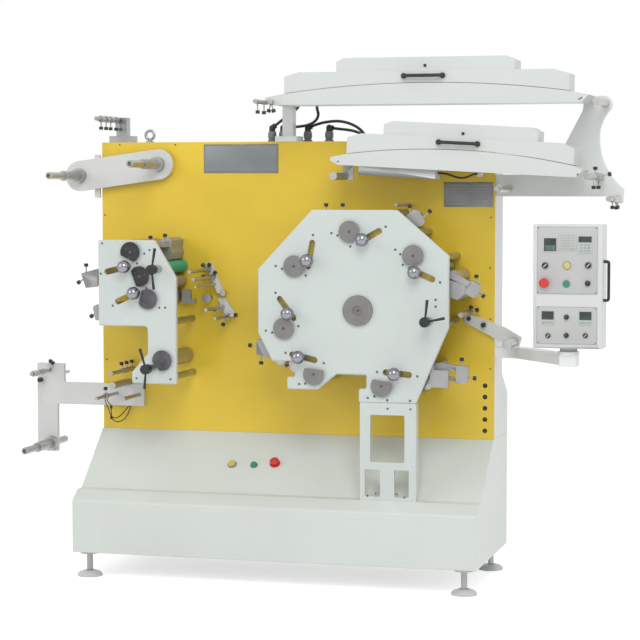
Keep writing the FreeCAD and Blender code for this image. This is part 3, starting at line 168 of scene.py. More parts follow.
finishSet = {
    "cabinetPaint": ((0.68, 0.72, 0.68), 0.34, 0.0, (420, 0.1), (2.2, 0.035), 0),
    "platePaint": ((0.62, 0.675, 0.65), 0.33, 0.0, (380, 0.08), (3.0, 0.035), 0),
    # the white paint made lighter for the horn and the hood carrier: painted light making up for their
    # shade behind the hoods
    "hornPaintWithPaintedLight": ((0.76, 0.785, 0.77), 0.36, 0.0, (420, 0.08), (1.6, 0.03), 0),
    "hoodPaint": ((0.645, 0.677, 0.66), 0.33, 0.0, (420, 0.08), (1.6, 0.03), 0),
    "yellowPaint": ((0.79, 0.56, 0.042), 0.3, 0.0, (340, 0.12), (2.4, 0.06), 0),
    "bracketPaint": ((0.66, 0.67, 0.65), 0.42, 0.0, (300, 0.15), (3.5, 0.05), 0),
    "consolePaint": ((0.69, 0.71, 0.7), 0.36, 0.0, (420, 0.1), (4.0, 0.03), 0),
    # the console's white made lighter for the arm: painted light making up for the shade the arm sits in
    "armPaintWithPaintedLight": ((0.82, 0.84, 0.83), 0.36, 0.0, (420, 0.1), (4.0, 0.03), 0),
    "slotBrass": ((0.66, 0.52, 0.13), 0.4, 0.2, (260, 0.2), (20.0, 0.25), 0),
    # dark grey of the printed rows on the ruled plate, also painted shade in the seams round the box insets
    "ruledPrintAndSeamShade": ((0.31, 0.29, 0.31), 0.5, 0.0, (400, 0.2), (20.0, 0.12), 0),
    "greenGlass": ((0.1, 0.17, 0.13), 0.15, 0.0, (200, 0.03), (25.0, 0.3), 0),
    "keyGreen": ((0.3, 0.42, 0.36), 0.4, 0.0, (400, 0.15), (30.0, 0.1), 0),
    "insetPaint": ((0.52, 0.53, 0.52), 0.45, 0.0, (500, 0.12), (6.0, 0.04), 0),
    "turnedSteel": ((0.215, 0.21, 0.205), 0.42, 0.75, (240, 0.18), (14.0, 0.1), 900),
    "darkDiscs": ((0.04, 0.038, 0.04), 0.45, 0.5, (240, 0.2), (30.0, 0.35), 800),
    "greyDiscs": ((0.105, 0.1, 0.11), 0.45, 0.5, (240, 0.2), (30.0, 0.3), 800),
    "brightSteel": ((0.38, 0.375, 0.37), 0.28, 0.9, (180, 0.12), (12.0, 0.12), 0),
    "rollerSteel": ((0.42, 0.415, 0.4), 0.3, 0.85, (150, 0.12), (9.0, 0.15), 0),
    "alloy": ((0.37, 0.365, 0.37), 0.42, 0.35, (260, 0.2), (10.0, 0.1), 0),
    "chrome": ((0.28, 0.275, 0.31), 0.09, 1.0, (60, 0.02), (8.0, 0.04), 0),
    "blackPlastic": ((0.012, 0.014, 0.014), 0.38, 0.0, (600, 0.25), (20.0, 0.2), 0),
    "hoseRubber": ((0.01, 0.011, 0.012), 0.45, 0.0, (500, 0.25), (20.0, 0.2), 0),
    "greenRubber": ((0.02, 0.4, 0.25), 0.5, 0.0, (400, 0.2), (12.0, 0.12), 0),
    "platePolymer": ((0.42, 0.34, 0.1), 0.4, 0.0, (300, 0.2), (10.0, 0.12), 0),
    "amberSleeve": ((0.36, 0.29, 0.16), 0.45, 0.0, (300, 0.15), (12.0, 0.12), 0),
    "redPlastic": ((0.62, 0.045, 0.035), 0.3, 0.0, (300, 0.1), (20.0, 0.08), 0),
    "greenPlastic": ((0.03, 0.27, 0.17), 0.3, 0.0, (300, 0.1), (20.0, 0.08), 0),
    "yellowPlastic": ((0.62, 0.55, 0.16), 0.3, 0.0, (300, 0.1), (20.0, 0.08), 0),
    "screwSteel": ((0.12, 0.12, 0.118), 0.42, 0.7, (300, 0.15), (30.0, 0.2), 0),
    "footPad": ((0.6, 0.63, 0.61), 0.4, 0.0, (300, 0.15), (9.0, 0.06), 0),
    "footSteel": ((0.36, 0.36, 0.36), 0.35, 0.7, (200, 0.2), (12.0, 0.15), 0),
    "glandGrey": ((0.2, 0.2, 0.215), 0.5, 0.0, (400, 0.2), (20.0, 0.12), 0),
    "plateSilver": ((0.22, 0.245, 0.245), 0.38, 0.3, (300, 0.15), (8.0, 0.08), 0),
    "screenGlass": ((0.035, 0.05, 0.05), 0.12, 0.0, (200, 0.03), (25.0, 0.35), 0),
    "keyGrey": ((0.42, 0.45, 0.43), 0.4, 0.0, (400, 0.15), (30.0, 0.1), 0),
    # dark finish that stands for shade: painted shade in screw sockets and in the discs' centre holes
    "seamShade": ((0.1, 0.1, 0.098), 0.6, 0.0, (300, 0.15), (12.0, 0.2), 0),
}
# span of the colour change, how far the gloss strays, depth of the grain in metres
noiseSet = {"ramp": (0.3, 0.7), "glossier": 0.06, "duller": 0.08, "least": 0.03, "depth": 0.0004}


def noiseNode(tree, scale, detail):
    coords = tree.nodes.new("ShaderNodeTexCoord")
    noise = tree.nodes.new("ShaderNodeTexNoise")
    noise.inputs["Scale"].default_value = scale
    noise.inputs["Detail"].default_value = detail
    tree.links.new(coords.outputs["Object"], noise.inputs["Vector"])
    return noise.outputs["Fac"]


def makeFinish(name, base, rough, metal, grain, mottle, rings):
    paint = bpy.data.materials.new(name)
    paint.use_nodes = True
    tree = paint.node_tree
    shader = tree.nodes["Principled BSDF"]
    shader.inputs["Metallic"].default_value = metal
    slow, fine = noiseNode(tree, mottle[0], 4), noiseNode(tree, grain[0], 3)
    amount = mottle[1]
    shift = tree.nodes.new("ShaderNodeValToRGB")
    dark, light = shift.color_ramp.elements
    dark.position, light.position = noiseSet["ramp"]
    dark.color = [v * (1 - amount) for v in base] + [1]
    light.color = [min(1.0, v * (1 + amount)) for v in base] + [1]
    tree.links.new(slow, shift.inputs["Fac"])
    tree.links.new(shift.outputs["Color"], shader.inputs["Base Color"])
    gloss = tree.nodes.new("ShaderNodeMapRange")
    gloss.inputs["To Min"].default_value = max(noiseSet["least"], rough - noiseSet["glossier"])
    gloss.inputs["To Max"].default_value = rough + noiseSet["duller"]
    tree.links.new(slow, gloss.inputs["Value"])
    tree.links.new(gloss.outputs["Result"], shader.inputs["Roughness"])
    bump = tree.nodes.new("ShaderNodeBump")
    bump.inputs["Strength"].default_value = grain[1]
    bump.inputs["Distance"].default_value = noiseSet["depth"]
    height = fine
    if rings:
        # tool marks of the lathe, round each disc's own middle
        flat = tree.nodes.new("ShaderNodeUVMap")
        reach = tree.nodes.new("ShaderNodeVectorMath")
        reach.operation = "LENGTH"
        tree.links.new(flat.outputs["UV"], reach.inputs[0])
        wave = mathNode(tree, "SINE", mathNode(tree, "MULTIPLY", reach.outputs["Value"], rings * math.pi))
        height = mathNode(tree, "MULTIPLY_ADD", wave, 0.5, fine)
    tree.links.new(height, bump.inputs["Height"])
    tree.links.new(bump.outputs["Normal"], shader.inputs["Normal"])
    return paint


paints = {name: makeFinish(name, *finish) for name, finish in finishSet.items()}
print("finishes mixed")

# CAD nodes that keep their mesh, with the finish of each

nodePaints = {
    "hood_carrier": "hornPaintWithPaintedLight", "control_arm": "armPaintWithPaintedLight", "main_panel": "yellowPaint",
    "rear_cabinet": "cabinetPaint", "tie_bars": "brightSteel",
}
for node, finish in nodePaints.items():
    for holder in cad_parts[node].material_slots:
        holder.material = paints[finish]


def seatPiece(name, data, body, stands):
    piece = bpy.data.objects.new(name, data)
    scene.collection.objects.link(piece)
    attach(piece, body)
    if stands:
        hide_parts(*stands)
    return piece


def finishPiece(bm, name, body, finishes, stands=(), sharp=32):
    mesh = bpy.data.meshes.new(name)
    bm.to_mesh(mesh)
    bm.free()
    mesh.shade_smooth()
    mesh.set_sharp_from_angle(angle=math.radians(sharp))
    for finish in finishes:
        mesh.materials.append(paints[finish])
    return seatPiece(name, mesh, body, stands)


def soften(bm, edges, width):
    bmesh.ops.bevel(bm, geom=edges, offset=width / 1000, offset_type="OFFSET", segments=2, profile=0.5,
                    affect="EDGES", material=-1, clamp_overlap=True)


def islandsOf(bm):
    found = []
    left = set(bm.faces)
    while left:
        start = left.pop()
        group = [start]
        queue = [start]
        while queue:
            face = queue.pop()
            for edge in face.edges:
                for other in edge.link_faces:
                    if other in left:
                        left.remove(other)
                        group.append(other)
                        queue.append(other)
        found.append(group)
    return found


# merging distance in metres, angles of a flat and of a corner, weight of large faces
dressSet = {"merge": 2e-5, "flat": 0.5, "corner": 32, "weight": 60}


def dressNode(node, body, finishes, choose=None, sharp=20, edge=0.0, zone=None):
    # a merged copy of a CAD node; choose gives each loose solid its finish, zone each face
    bm = bmesh.new()
    bm.from_mesh(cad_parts[node].data)
    bmesh.ops.remove_doubles(bm, verts=bm.verts, dist=dressSet["merge"])
    if edge:
        bmesh.ops.dissolve_limit(bm, angle_limit=math.radians(dressSet["flat"]), verts=bm.verts,
                                 edges=bm.edges)
    if choose:
        for group in islandsOf(bm):
            spots = {vert for face in group for vert in face.verts}
            low = Vector([min(v.co[i] for v in spots) for i in range(3)])
            high = Vector([max(v.co[i] for v in spots) for i in range(3)])
            mark = choose((low + high) / 2, high - low)
            for face in group:
                face.material_index = mark
    else:
        for face in bm.faces:
            face.material_index = zone(face.calc_center_median()) if zone else 0
    piece = finishPiece(bm, node + "_dressed", body, finishes, (node,), sharp)
    if edge:
        bevel = piece.modifiers.new("edge", "BEVEL")
        bevel.width = edge
        bevel.segments = 2
        bevel.limit_method = "ANGLE"
        bevel.angle_limit = math.radians(dressSet["corner"])
    flats = piece.modifiers.new("flats", "WEIGHTED_NORMAL")   # flat faces stay flat beside fillets
    flats.weight = dressSet["weight"]
    flats.keep_sharp = True


def turned(bm, x, z, profile, steps=48, mark=0):
    # closed shape spun about a line along Y; the profile is (y, radius) pairs
    before = set(bm.faces)
    line = [bm.verts.new(place(x + radius, y, z)) for y, radius in profile]
    runs = [bm.edges.new((line[i], line[i + 1])) for i in range(len(line) - 1)]
    bmesh.ops.spin(bm, geom=line + runs, cent=place(x, 0, z), axis=(0, 1, 0), angle=2 * math.pi,
                   steps=steps, use_merge=True, dvec=(0, 0, 0))
    made = [face for face in bm.faces if face not in before]
    spots = list({vert for face in made for vert in face.verts})
    bmesh.ops.remove_doubles(bm, verts=spots, dist=1e-6)
    made = [face for face in bm.faces if face not in before]
    bmesh.ops.recalc_face_normals(bm, faces=made)
    for face in made:
        face.material_index = mark


def markBetween(bm, low, high):
    # the second finish for the faces between two depths
    for face in bm.faces:
        if place(0, low, 0).y < face.calc_center_median().y < place(0, high, 0).y:
            face.material_index = 1


# Cabinets, base and plates

plainNodes = {
    "base_cabinet": ("cabinetPaint", "cabinet_white", 0.0025),
    "octagon_plate": ("platePaint", "plate_white", 0.0),
    "left_plate": ("platePaint", "plate_white", 0.0),
    "support_leg": ("platePaint", "plate_white", 0.0012),
    "unwind_bracket": ("bracketPaint", "bracket_grey", 0.0015),
    "rewind_arm": ("bracketPaint", "bracket_grey", 0.0015),
    "horn_bracket": ("hornPaintWithPaintedLight", "bracket_grey", 0.0015),
    "guide_brackets": ("bracketPaint", "bracket_grey", 0.001),
    "lifting_eye": ("brightSteel", "bright_steel", 0.0),
    "upper_tray": ("hoodPaint", "cabinet_white", 0.0),
    "lower_tray": ("hoodPaint", "cabinet_white", 0.0),
}
for node, (finish, slotName, edge) in plainNodes.items():
    dressNode(node, "frame", [finish], edge=edge)
dressNode("levelling_feet", "frame", ["footSteel", "footPad"],
          zone=lambda spot: 1 if spot.z < 0.024 else 0)
for node, body in (("upper_lid", "upper_hood"), ("lower_lid", "lower_hood")):
    dressNode(node, body, ["hoodPaint", "blackPlastic"], sharp=9,
              zone=lambda spot: 1 if spot.y < place(0, fronts["lid"] - 0.5, 0).y else 0)
for number in (1, 2, 3, 4):
    dressNode("hose_%d" % number, "frame", ["hoseRubber"], sharp=60)
dressNode("lamp_cable", "frame", ["hoseRubber"], sharp=60)
print("cabinets dressed")

# Small solids, told apart by size and place in metres: the knurled heads of screws
# are black, the two inking rolls of the left unit have sleeves, the rest is steel

smallSet = {"head": 0.023, "wide": 0.024, "long": 0.026, "near": 0.02, "glandTop": 1.852,
            "sleeves": [(366, 1282), (362, 1221)]}


def headOrShaft(centre, size):
    return 1 if max(size) < smallSet["head"] else 0


def rollerKind(centre, size):
    return 1 if max(size.x, size.z) < smallSet["wide"] and max(size) < smallSet["long"] else 0


def inkKind(centre, size):
    for number, (x, z) in enumerate(smallSet["sleeves"], 1):
        spot = place(x, 0, z)
        if max(abs(centre.x - spot.x), abs(centre.z - spot.z)) < smallSet["near"]:
            return number
    return 0


def glandKind(centre, size):
    return 1 if centre.z > smallSet["glandTop"] else 0


dressNode("guide_rollers", "frame", ["rollerSteel", "blackPlastic"], rollerKind)
dressNode("roller_post", "frame", ["brightSteel", "blackPlastic"], headOrShaft)
dressNode("ink_fountains", "frame", ["alloy", "blackPlastic"], headOrShaft)
dressNode("ink_rollers", "frame", ["rollerSteel", "greenRubber", "amberSleeve"], inkKind)
dressNode("cable_glands", "frame", ["glandGrey", "blackPlastic"], glandKind)

# Drum, cylinders and reel spindles

drumSet = {"x": 1204, "z": 1122, "circle": 316, "angles": [44.3, 96.2, 146.5, 194.1, 235.1, 288.2],
           "radius": 265.0, "rim": 18, "web": 20, "hub": 60, "shaft": 18}
printPlaces = []
for angle in drumSet["angles"]:
    turn = math.radians(angle)
    printPlaces.append((drumSet["x"] + drumSet["circle"] * math.cos(turn),
                        drumSet["z"] + drumSet["circle"] * math.sin(turn)))
leftRolls = [(243, 1347, 50), (283, 1248, 46), (317, 1155, 46), (379, 904, 34)]
rollSet = {"front": 52.0, "roll": (97.0, 349.0), "back": 366.0, "shaft": 9.0, "hub": 16.0}


def makeRoll(name, body, node, x, z, radius, finish):
    y0, y1 = rollSet["roll"]
    shaft = rollSet["shaft"]
    profile = [(60, 0), (53, 4), (rollSet["front"], 5), (rollSet["front"], shaft - 1),
               (rollSet["front"] + 1, shaft), (y0 - 6, shaft), (y0 - 6, rollSet["hub"]),
               (y0, rollSet["hub"]), (y0, radius - 2), (y0 + 2, radius), (y1 - 2, radius),
               (y1, radius - 2), (y1, shaft), (rollSet["back"], shaft), (rollSet["back"], 0)]
    bm = bmesh.new()
    turned(bm, x, z, profile, 64)
    markBetween(bm, y0 + 3, y1 - 3)
    finishPiece(bm, name, body, ["brightSteel", finish], (node,))


for number, (x, z) in enumerate(printPlaces, 1):
    makeRoll("printRoll%d" % number, "cylinder_%d" % number, "plate_cylinder_%d" % number, x, z, 46,
             "platePolymer")
for number, (x, z, radius) in enumerate(leftRolls, 1):
    makeRoll("leftRoll%d" % number, "left_roll_%d" % number, "left_cylinder_%d" % number, x, z, radius,
             "rollerSteel")


def spreadRings(bm, centres):
    # each disc's own flat map, in metres from the nearest middle
    flat = bm.loops.layers.uv.new("UVMap")
    for face in bm.faces:
        spot = face.calc_center_median()
        centre = min(centres, key=lambda c: (c.x - spot.x) ** 2 + (c.z - spot.z) ** 2)
        for loop in face.loops:
            loop[flat].uv = (loop.vert.co.x - centre.x, loop.vert.co.z - centre.z)


def makeDrum():
    y0, y1 = rollSet["roll"]
    web = ((y0 + y1 - drumSet["web"]) / 2, (y0 + y1 + drumSet["web"]) / 2)
    r, hub, shaft = drumSet["radius"], drumSet["hub"], drumSet["shaft"]
    bore = r - drumSet["rim"]
    profile = [(60, 0), (53, 5), (52, 6), (52, shaft - 1), (53, shaft), (y0, shaft), (y0, hub),
               (web[0], hub), (web[0], bore), (y0, bore), (y0, r - 1), (y0 + 1, r), (y1 - 1, r),
               (y1, r - 1), (y1, bore), (web[1], bore), (web[1], hub), (y1, hub), (y1, shaft),
               (rollSet["back"], shaft), (rollSet["back"], 0)]
    bm = bmesh.new()
    turned(bm, drumSet["x"], drumSet["z"], profile, 128)
    markBetween(bm, -math.inf, fronts["plate"])
    spreadRings(bm, [place(drumSet["x"], 0, drumSet["z"])])
    finishPiece(bm, "printDrum", "drum", ["brightSteel", "turnedSteel"],
                ("impression_drum",))


makeDrum()


spindleSet = {
    "unwindSpindle": {"body": "unwind", "node": "unwind_spindle", "at": (-226, 512), "front": 37,
                      "face": 336.7, "rear": 487, "shaft": 15},
    "rewindSpindleLeft": {"body": "rewind_left", "node": "rewind_spindle_left", "at": (-83, 1660),
                          "front": -23.3, "face": 321.7, "rear": 352, "shaft": 12},
    "rewindSpindleRight": {"body": "rewind_right", "node": "rewind_spindle_right", "at": (269, 1708),
                           "front": -23.3, "face": 321.7, "rear": 352, "shaft": 12},
}
spindleShape = {"bore": 9, "boreDeep": 24, "thin": 15, "thinShare": 0.45, "sleeve": 21, "flange": 31,
                "flangeThick": 34}


def makeSpindle(name, spindle):
    front, face, rear, shaft = (spindle[key] for key in ("front", "face", "rear", "shaft"))
    bore, thin, sleeve, flange = (spindleShape[key] for key in ("bore", "thin", "sleeve", "flange"))
    inside = front + spindleShape["boreDeep"]
    step = front + spindleShape["thinShare"] * (face - front)
    back = face - spindleShape["flangeThick"]
    profile = [(inside, 0), (inside, bore), (front + 1, bore), (front, bore + 1), (front, thin - 2),
               (front + 3, thin), (step, thin), (step, sleeve - 1), (step + 1, sleeve), (back, sleeve),
               (back, flange - 1), (back + 1, flange), (face - 1, flange), (face, flange - 1),
               (face, shaft), (rear - 1, shaft), (rear, shaft - 1), (rear, 0)]
    bm = bmesh.new()
    turned(bm, *spindle["at"], profile, 56)
    markBetween(bm, -math.inf, step - 1)
    finishPiece(bm, name, spindle["body"], ["brightSteel", "rollerSteel"],
                (spindle["node"],))


for name, spindle in spindleSet.items():
    makeSpindle(name, spindle)
print("rolls and spindles turned")

# Bearing discs, each with the flat that faces its knob

discSet = {"front": 48.0, "back": 60.0, "round": 43.5, "leftRound": 42.0, "soft": 1.5, "flat": 34.5,
           "toKnob": 37.0, "screw": 2.0, "screwStand": 0.6}
# rings of three screws: radius and the first one's angle
screwRings = {"station": (25.0, 40.0), "left": (24.0, 20.0), "drum": (40.0, 15.0)}
lowFlats = {4: (84.0, 21.0), 5: (81.0, 21.0)}
leftFlats = [(245.0, 29.0), (201.0, 27.0), (165.0, 32.0), (221.0, 35.0)]


def knobPlace(slot, rest):
    (x0, z0), (x1, z1) = slot
    length = math.hypot(x1 - x0, z1 - z0)
    return (x0 + (x1 - x0) * rest / length, z0 + (z1 - z0) * rest / length)


slotSet = {"inner": (-52.0, -20.0), "outer": (-5.0, -131.0), "half": 13.0,
           "hands": [1, 1, 1, 1, 1, -1], "rests": [37.0, 39.0, 37.0, 37.0, 73.0, 55.0]}


def stationStep(index, radial, tangential):
    turn = math.radians(drumSet["angles"][index])
    side = tangential * slotSet["hands"][index]
    x = drumSet["x"] + (drumSet["circle"] + radial) * math.cos(turn) - side * math.sin(turn)
    z = drumSet["z"] + (drumSet["circle"] + radial) * math.sin(turn) + side * math.cos(turn)
    return (x, z)


stationSlots = [(stationStep(i, *slotSet["inner"]), stationStep(i, *slotSet["outer"])) for i in range(6)]
stationFlats = []
for number, (x, z) in enumerate(printPlaces):
    knobX, knobZ = knobPlace(stationSlots[number], discSet["toKnob"])
    facing = math.degrees(math.atan2(knobZ - z, knobX - x))
    stationFlats.append(lowFlats.get(number, (facing, discSet["flat"])))
leftSlots = [((242.0, 1292.0), (125.0, 1262.0)), ((282.0, 1187.0), (172.0, 1138.0))]


def addDisc(bm, x, z, radius, angle, flat, mark=0):
    # round plate, cut along its flat, with a bevelled rim
    before = set(bm.faces)
    front = discSet["front"]
    made = bmesh.ops.create_circle(bm, cap_ends=True, cap_tris=False, segments=72, radius=radius / 1000,
                                   matrix=Matrix.Translation(place(x, front, z))
                                   @ Matrix.Rotation(math.radians(90), 4, "X"))
    faces = list({face for vert in made["verts"] for face in vert.link_faces})
    if flat:
        turn = math.radians(angle)
        out = Vector((math.cos(turn), 0, math.sin(turn)))
        spots = made["verts"]
        bmesh.ops.bisect_plane(bm, geom=spots + faces + list({e for f in faces for e in f.edges}),
                               plane_co=place(x, front, z) + out * flat / 1000, plane_no=out,
                               clear_outer=True)
        faces = [face for face in bm.faces if face not in before]
    bmesh.ops.inset_region(bm, faces=faces, thickness=discSet["soft"] / 1000, depth=0.0)
    faces = [face for face in bm.faces if face not in before]
    middleFace = max(faces, key=lambda face: face.calc_area())
    rim = [face for face in faces if face is not middleFace]
    outer = {vert for face in rim for vert in face.verts} - set(middleFace.verts)
    for vert in outer:
        vert.co.y += discSet["soft"] / 1000
    border = [edge for edge in bm.edges if edge.is_boundary and all(v in outer for v in edge.verts)]
    wall = bmesh.ops.extrude_edge_only(bm, edges=border)["geom"]
    for item in wall:
        if isinstance(item, bmesh.types.BMVert):
            item.co.y = place(0, discSet["back"], 0).y
    made = [face for face in bm.faces if face not in before]
    bmesh.ops.recalc_face_normals(bm, faces=made)
    if middleFace.normal.y > 0:
        bmesh.ops.reverse_faces(bm, faces=made)
    for face in made:
        face.material_index = mark


def makeDiscs():
    bm = bmesh.new()
    centres = []
    for (x, z), (angle, flat) in zip(printPlaces, stationFlats):
        addDisc(bm, x, z, discSet["round"], angle, flat, 0)
        centres.append(place(x, 0, z))
    for number, ((x, z, radius), (angle, flat)) in enumerate(zip(leftRolls, leftFlats)):
        addDisc(bm, x, z, discSet["leftRound"], angle, flat, 1 if number < 2 else 2)
        centres.append(place(x, 0, z))
    x, z = drumSet["x"], drumSet["z"]
    cap = [(60, 0), (54, 4), (53, 7), (53, 17), (52, 18), (48.8, 18), (48, 19), (48, 60), (49, 61),
           (60, 61)]
    turned(bm, x, z, cap, 72)
    centres.append(place(x, 0, z))
    spreadRings(bm, centres)
    finishPiece(bm, "bearingDiscs", "frame", ["turnedSteel", "darkDiscs", "greyDiscs"],
                ("bearing_discs",), 20)


def makeDiscScrews():
    # a dark spot for the centre hole of each disc, painted shade of the bore, and three small screws round
    # it
    bm = bmesh.new()
    spots = [(x, z, *screwRings["station"]) for x, z in printPlaces]
    spots += [(x, z, *screwRings["left"]) for x, z, radius in leftRolls]
    spots.append((drumSet["x"], drumSet["z"], *screwRings["drum"]))
    for x, z, reach, first in spots:
        turned(bm, x, z, [(48, 0), (48, 5.2), (47.4, 6.2), (47.2, 5.4), (47.6, 4.4), (47.9, 0)], 20, 1)
        for third in range(3):
            turn = math.radians(first + 120 * third)
            spot = place(x + reach * math.cos(turn), discSet["front"], z + reach * math.sin(turn))
            addScrew(bm, spot, discSet["screw"], discSet["screwStand"])
    finishPiece(bm, "discScrews", "frame", ["turnedSteel", "seamShade"])


makeDiscs()

# Brass guide bars behind the slots, clear of the knobs' shoes and of the rolls

barSet = {"front": 90.6, "back": 95.0, "half": 16.0, "arc": 12}


def makeSlotBars():
    bm = bmesh.new()
    for (x0, z0), (x1, z1) in stationSlots:
        lean = math.atan2(z1 - z0, x1 - x0)
        outline = []
        for x, z, start in ((x1, z1, -0.5), (x0, z0, 0.5)):
            for step in range(barSet["arc"] + 1):
                turn = lean + math.pi * (start + step / barSet["arc"])
                outline.append(bm.verts.new(place(x + barSet["half"] * math.cos(turn), barSet["front"],
                                                  z + barSet["half"] * math.sin(turn))))
        front = bm.faces.new(outline)
        rest = bmesh.ops.extrude_face_region(bm, geom=[front])["geom"]
        depth = (barSet["back"] - barSet["front"]) / 1000
        bmesh.ops.translate(bm, verts=[v for v in rest if isinstance(v, bmesh.types.BMVert)],
                            vec=(0, depth, 0))
    bmesh.ops.recalc_face_normals(bm, faces=bm.faces)
    finishPiece(bm, "slotBars", "frame", ["slotBrass"])


makeSlotBars()

# Ball knobs that throw the cylinders off

knobSet = {"ball": 27.0, "standOff": 38.0, "collar": 15.0, "stem": 11.0, "shoe": 20.0, "shoeThick": 7.0,
           "neck": 20.0, "arc": 135, "leftRest": 18.0}


def makeKnob(name, body, node, spot):
    x, z = spot
    centre = fronts["plate"] - knobSet["standOff"]
    ball, collar, stem, shoe = (knobSet[key] for key in ("ball", "collar", "stem", "shoe"))
    seat, back = fronts["plate"] - seatGap, plateBack + seatGap
    neck = centre + knobSet["neck"]
    arc = []
    for step in range(19):
        turn = math.radians(step * knobSet["arc"] / 18)
        arc.append((centre - ball * math.cos(turn), ball * math.sin(turn)))
    end = back + knobSet["shoeThick"]
    profile = arc + [(neck, collar), (seat - 1, collar), (seat, collar - 1), (seat, stem),
                     (back, stem), (back, shoe), (end, shoe), (end, 0)]
    bm = bmesh.new()
    turned(bm, x, z, profile, 48)
    markBetween(bm, neck, math.inf)
    finishPiece(bm, name, body, ["chrome", "rollerSteel"], (node,), 40)


for number in range(6):
    makeKnob("throwKnob%d" % (number + 1), "throw_%d" % (number + 1), "throw_knob_%d" % (number + 1),
             knobPlace(stationSlots[number], slotSet["rests"][number]))
for number in range(2):
    makeKnob("leftKnob%d" % (number + 1), "left_throw_%d" % (number + 1), "left_knob_%d" % (number + 1),
             knobPlace(leftSlots[number], knobSet["leftRest"]))
print("discs and knobs made")

# Clamping levers: a knurled black hub with two tapered arms

leverSet = {"reach": 100.0, "hub": 21.0, "grip": 36.0, "ridges": 24, "groove": 0.955, "neck": 16.0,
            "stud": 8.0, "studEnd": 80.0, "arm": 88.0, "armLevel": 18.0, "thick": 6.5, "taper": 0.6,
            "soft": 1.2}


def makeLever(name, body, node, spot, arms):
    x, z = spot
    front = fronts["plate"] - leverSet["reach"]
    seat = fronts["plate"] - seatGap
    hub, neck, stud, end = (leverSet[key] for key in ("hub", "neck", "stud", "studEnd"))
    gripEnd = front + leverSet["grip"]
    bm = bmesh.new()
    turned(bm, x, z, [(front, 0), (front, hub - 3), (front + 1, hub - 1.5), (front + 3, hub - 0.4),
                      (gripEnd, hub - 0.4), (gripEnd + 1, hub - 1), (gripEnd + 4, neck),
                      (seat, neck), (seat, stud), (end, stud), (end, 0)], leverSet["ridges"] * 2)
    grip = [v for v in bm.verts if place(0, front + 2, 0).y < v.co.y < place(0, gripEnd + 0.5, 0).y]
    centre = place(x, 0, z)
    for vert in grip:
        turn = math.atan2(vert.co.z - centre.z, vert.co.x - centre.x)
        if round(turn / math.pi * leverSet["ridges"]) % 2:
            vert.co.x = centre.x + (vert.co.x - centre.x) * leverSet["groove"]
            vert.co.z = centre.z + (vert.co.z - centre.z) * leverSet["groove"]
    markBetween(bm, gripEnd + 3, math.inf)
    for angle, share in arms:
        turn = math.radians(angle)
        along = Vector((math.cos(turn), 0, math.sin(turn)))
        run = leverSet["arm"] * share - hub + 6
        start = place(x, front + leverSet["armLevel"], z) + along * (hub - 6) / 1000
        spin = Vector((0, 0, 1)).rotation_difference(along).to_matrix().to_4x4()
        made = bmesh.ops.create_cone(bm, cap_ends=True, cap_tris=False, segments=24,
                                     radius1=leverSet["thick"] * leverSet["taper"] / 1000,
                                     radius2=leverSet["thick"] * share / 1000, depth=run / 1000,
                                     matrix=Matrix.Translation(start + along * run / 2000) @ spin)
        tip = [e for e in {e for v in made["verts"] for e in v.link_edges}
               if all((v.co - start).dot(along) > run / 1000 - 1e-5 for v in e.verts)]
        soften(bm, tip, leverSet["soft"])
    finishPiece(bm, name, body, ["blackPlastic", "rollerSteel"], (node,), 25)


makeLever("clampLever", "clamp", "clamp_lever", (1495, 1085), ((84, 1.0), (12, 0.92)))
makeLever("leftLeverUpper", "left_clamp_upper", "left_lever_upper", (362, 1279), ((81, 1.0), (-84, 0.92)))
makeLever("leftLeverLower", "left_clamp_lower", "left_lever_lower", (335, 873), ((107, 1.0), (-95, 0.92)))
print("levers made")

# Socket screws and other small fasteners on the plates

screwSet = {"octagon": 5.0, "left": 4.6, "leg": 4.2, "panel": 3.6, "tray": 3.6, "stand": 1.6}
octagonScrews = [(862, 1296), (888, 1285), (988, 1259), (1018, 1422), (1094, 1430), (1119, 1421),
                 (1172, 1377), (1317, 1457), (1356, 1366), (1377, 1348), (1387, 1306), (1538, 1238),
                 (820, 1034), (847, 1027), (957, 1055), (861, 1188), (903, 946), (1063, 908), (960, 821),
                 (986, 824), (1283, 877), (1447, 864), (1245, 772), (1272, 779), (1520, 1169), (1521, 1142),
                 (1325, 765), (1418, 765)]
leftScrews = [(117, 1382), (110, 1257), (324, 1356), (301, 1341), (269, 1301), (162, 1126), (365, 1120),
              (390, 1121), (310, 1200), (264, 828), (412, 827)]
legScrews = [(1244, 378), (1277, 388), (1365, 388), (1395, 377), (1326, 731), (1419, 731)]
panelScrews = [(85, 1792), (334, 1791), (16, 1494), (20, 877), (1685, 1490), (1683, 1285), (1685, 1077),
               (1685, 873)]


def addScrew(bm, spot, radius, stand):
    # round head with a sunk socket, its face towards the front
    made = bmesh.ops.create_cone(bm, cap_ends=True, cap_tris=False, segments=16, radius1=radius / 1000,
                                 radius2=radius * 0.86 / 1000, depth=stand / 1000,
                                 matrix=Matrix.Translation(spot - Vector((0, stand / 2000, 0)))
                                 @ Matrix.Rotation(math.radians(90), 4, "X"))
    faces = {face for vert in made["verts"] for face in vert.link_faces}
    top = min(faces, key=lambda face: face.calc_center_median().y)
    bmesh.ops.inset_region(bm, faces=[top], thickness=radius * 0.4 / 1000, depth=0)
    bmesh.ops.translate(bm, verts=top.verts, vec=(0, stand * 0.6 / 1000, 0))
    # the socket's floor takes the second finish; with seamShade, as in makeScrews and the disc screws, that
    # is painted shade in the socket
    top.material_index = 1


def makeScrews(name, body, spots, y, radius):
    bm = bmesh.new()
    for x, z in spots:
        addScrew(bm, place(x, y, z), radius, screwSet["stand"])
    finishPiece(bm, name, body, ["screwSteel", "seamShade"])


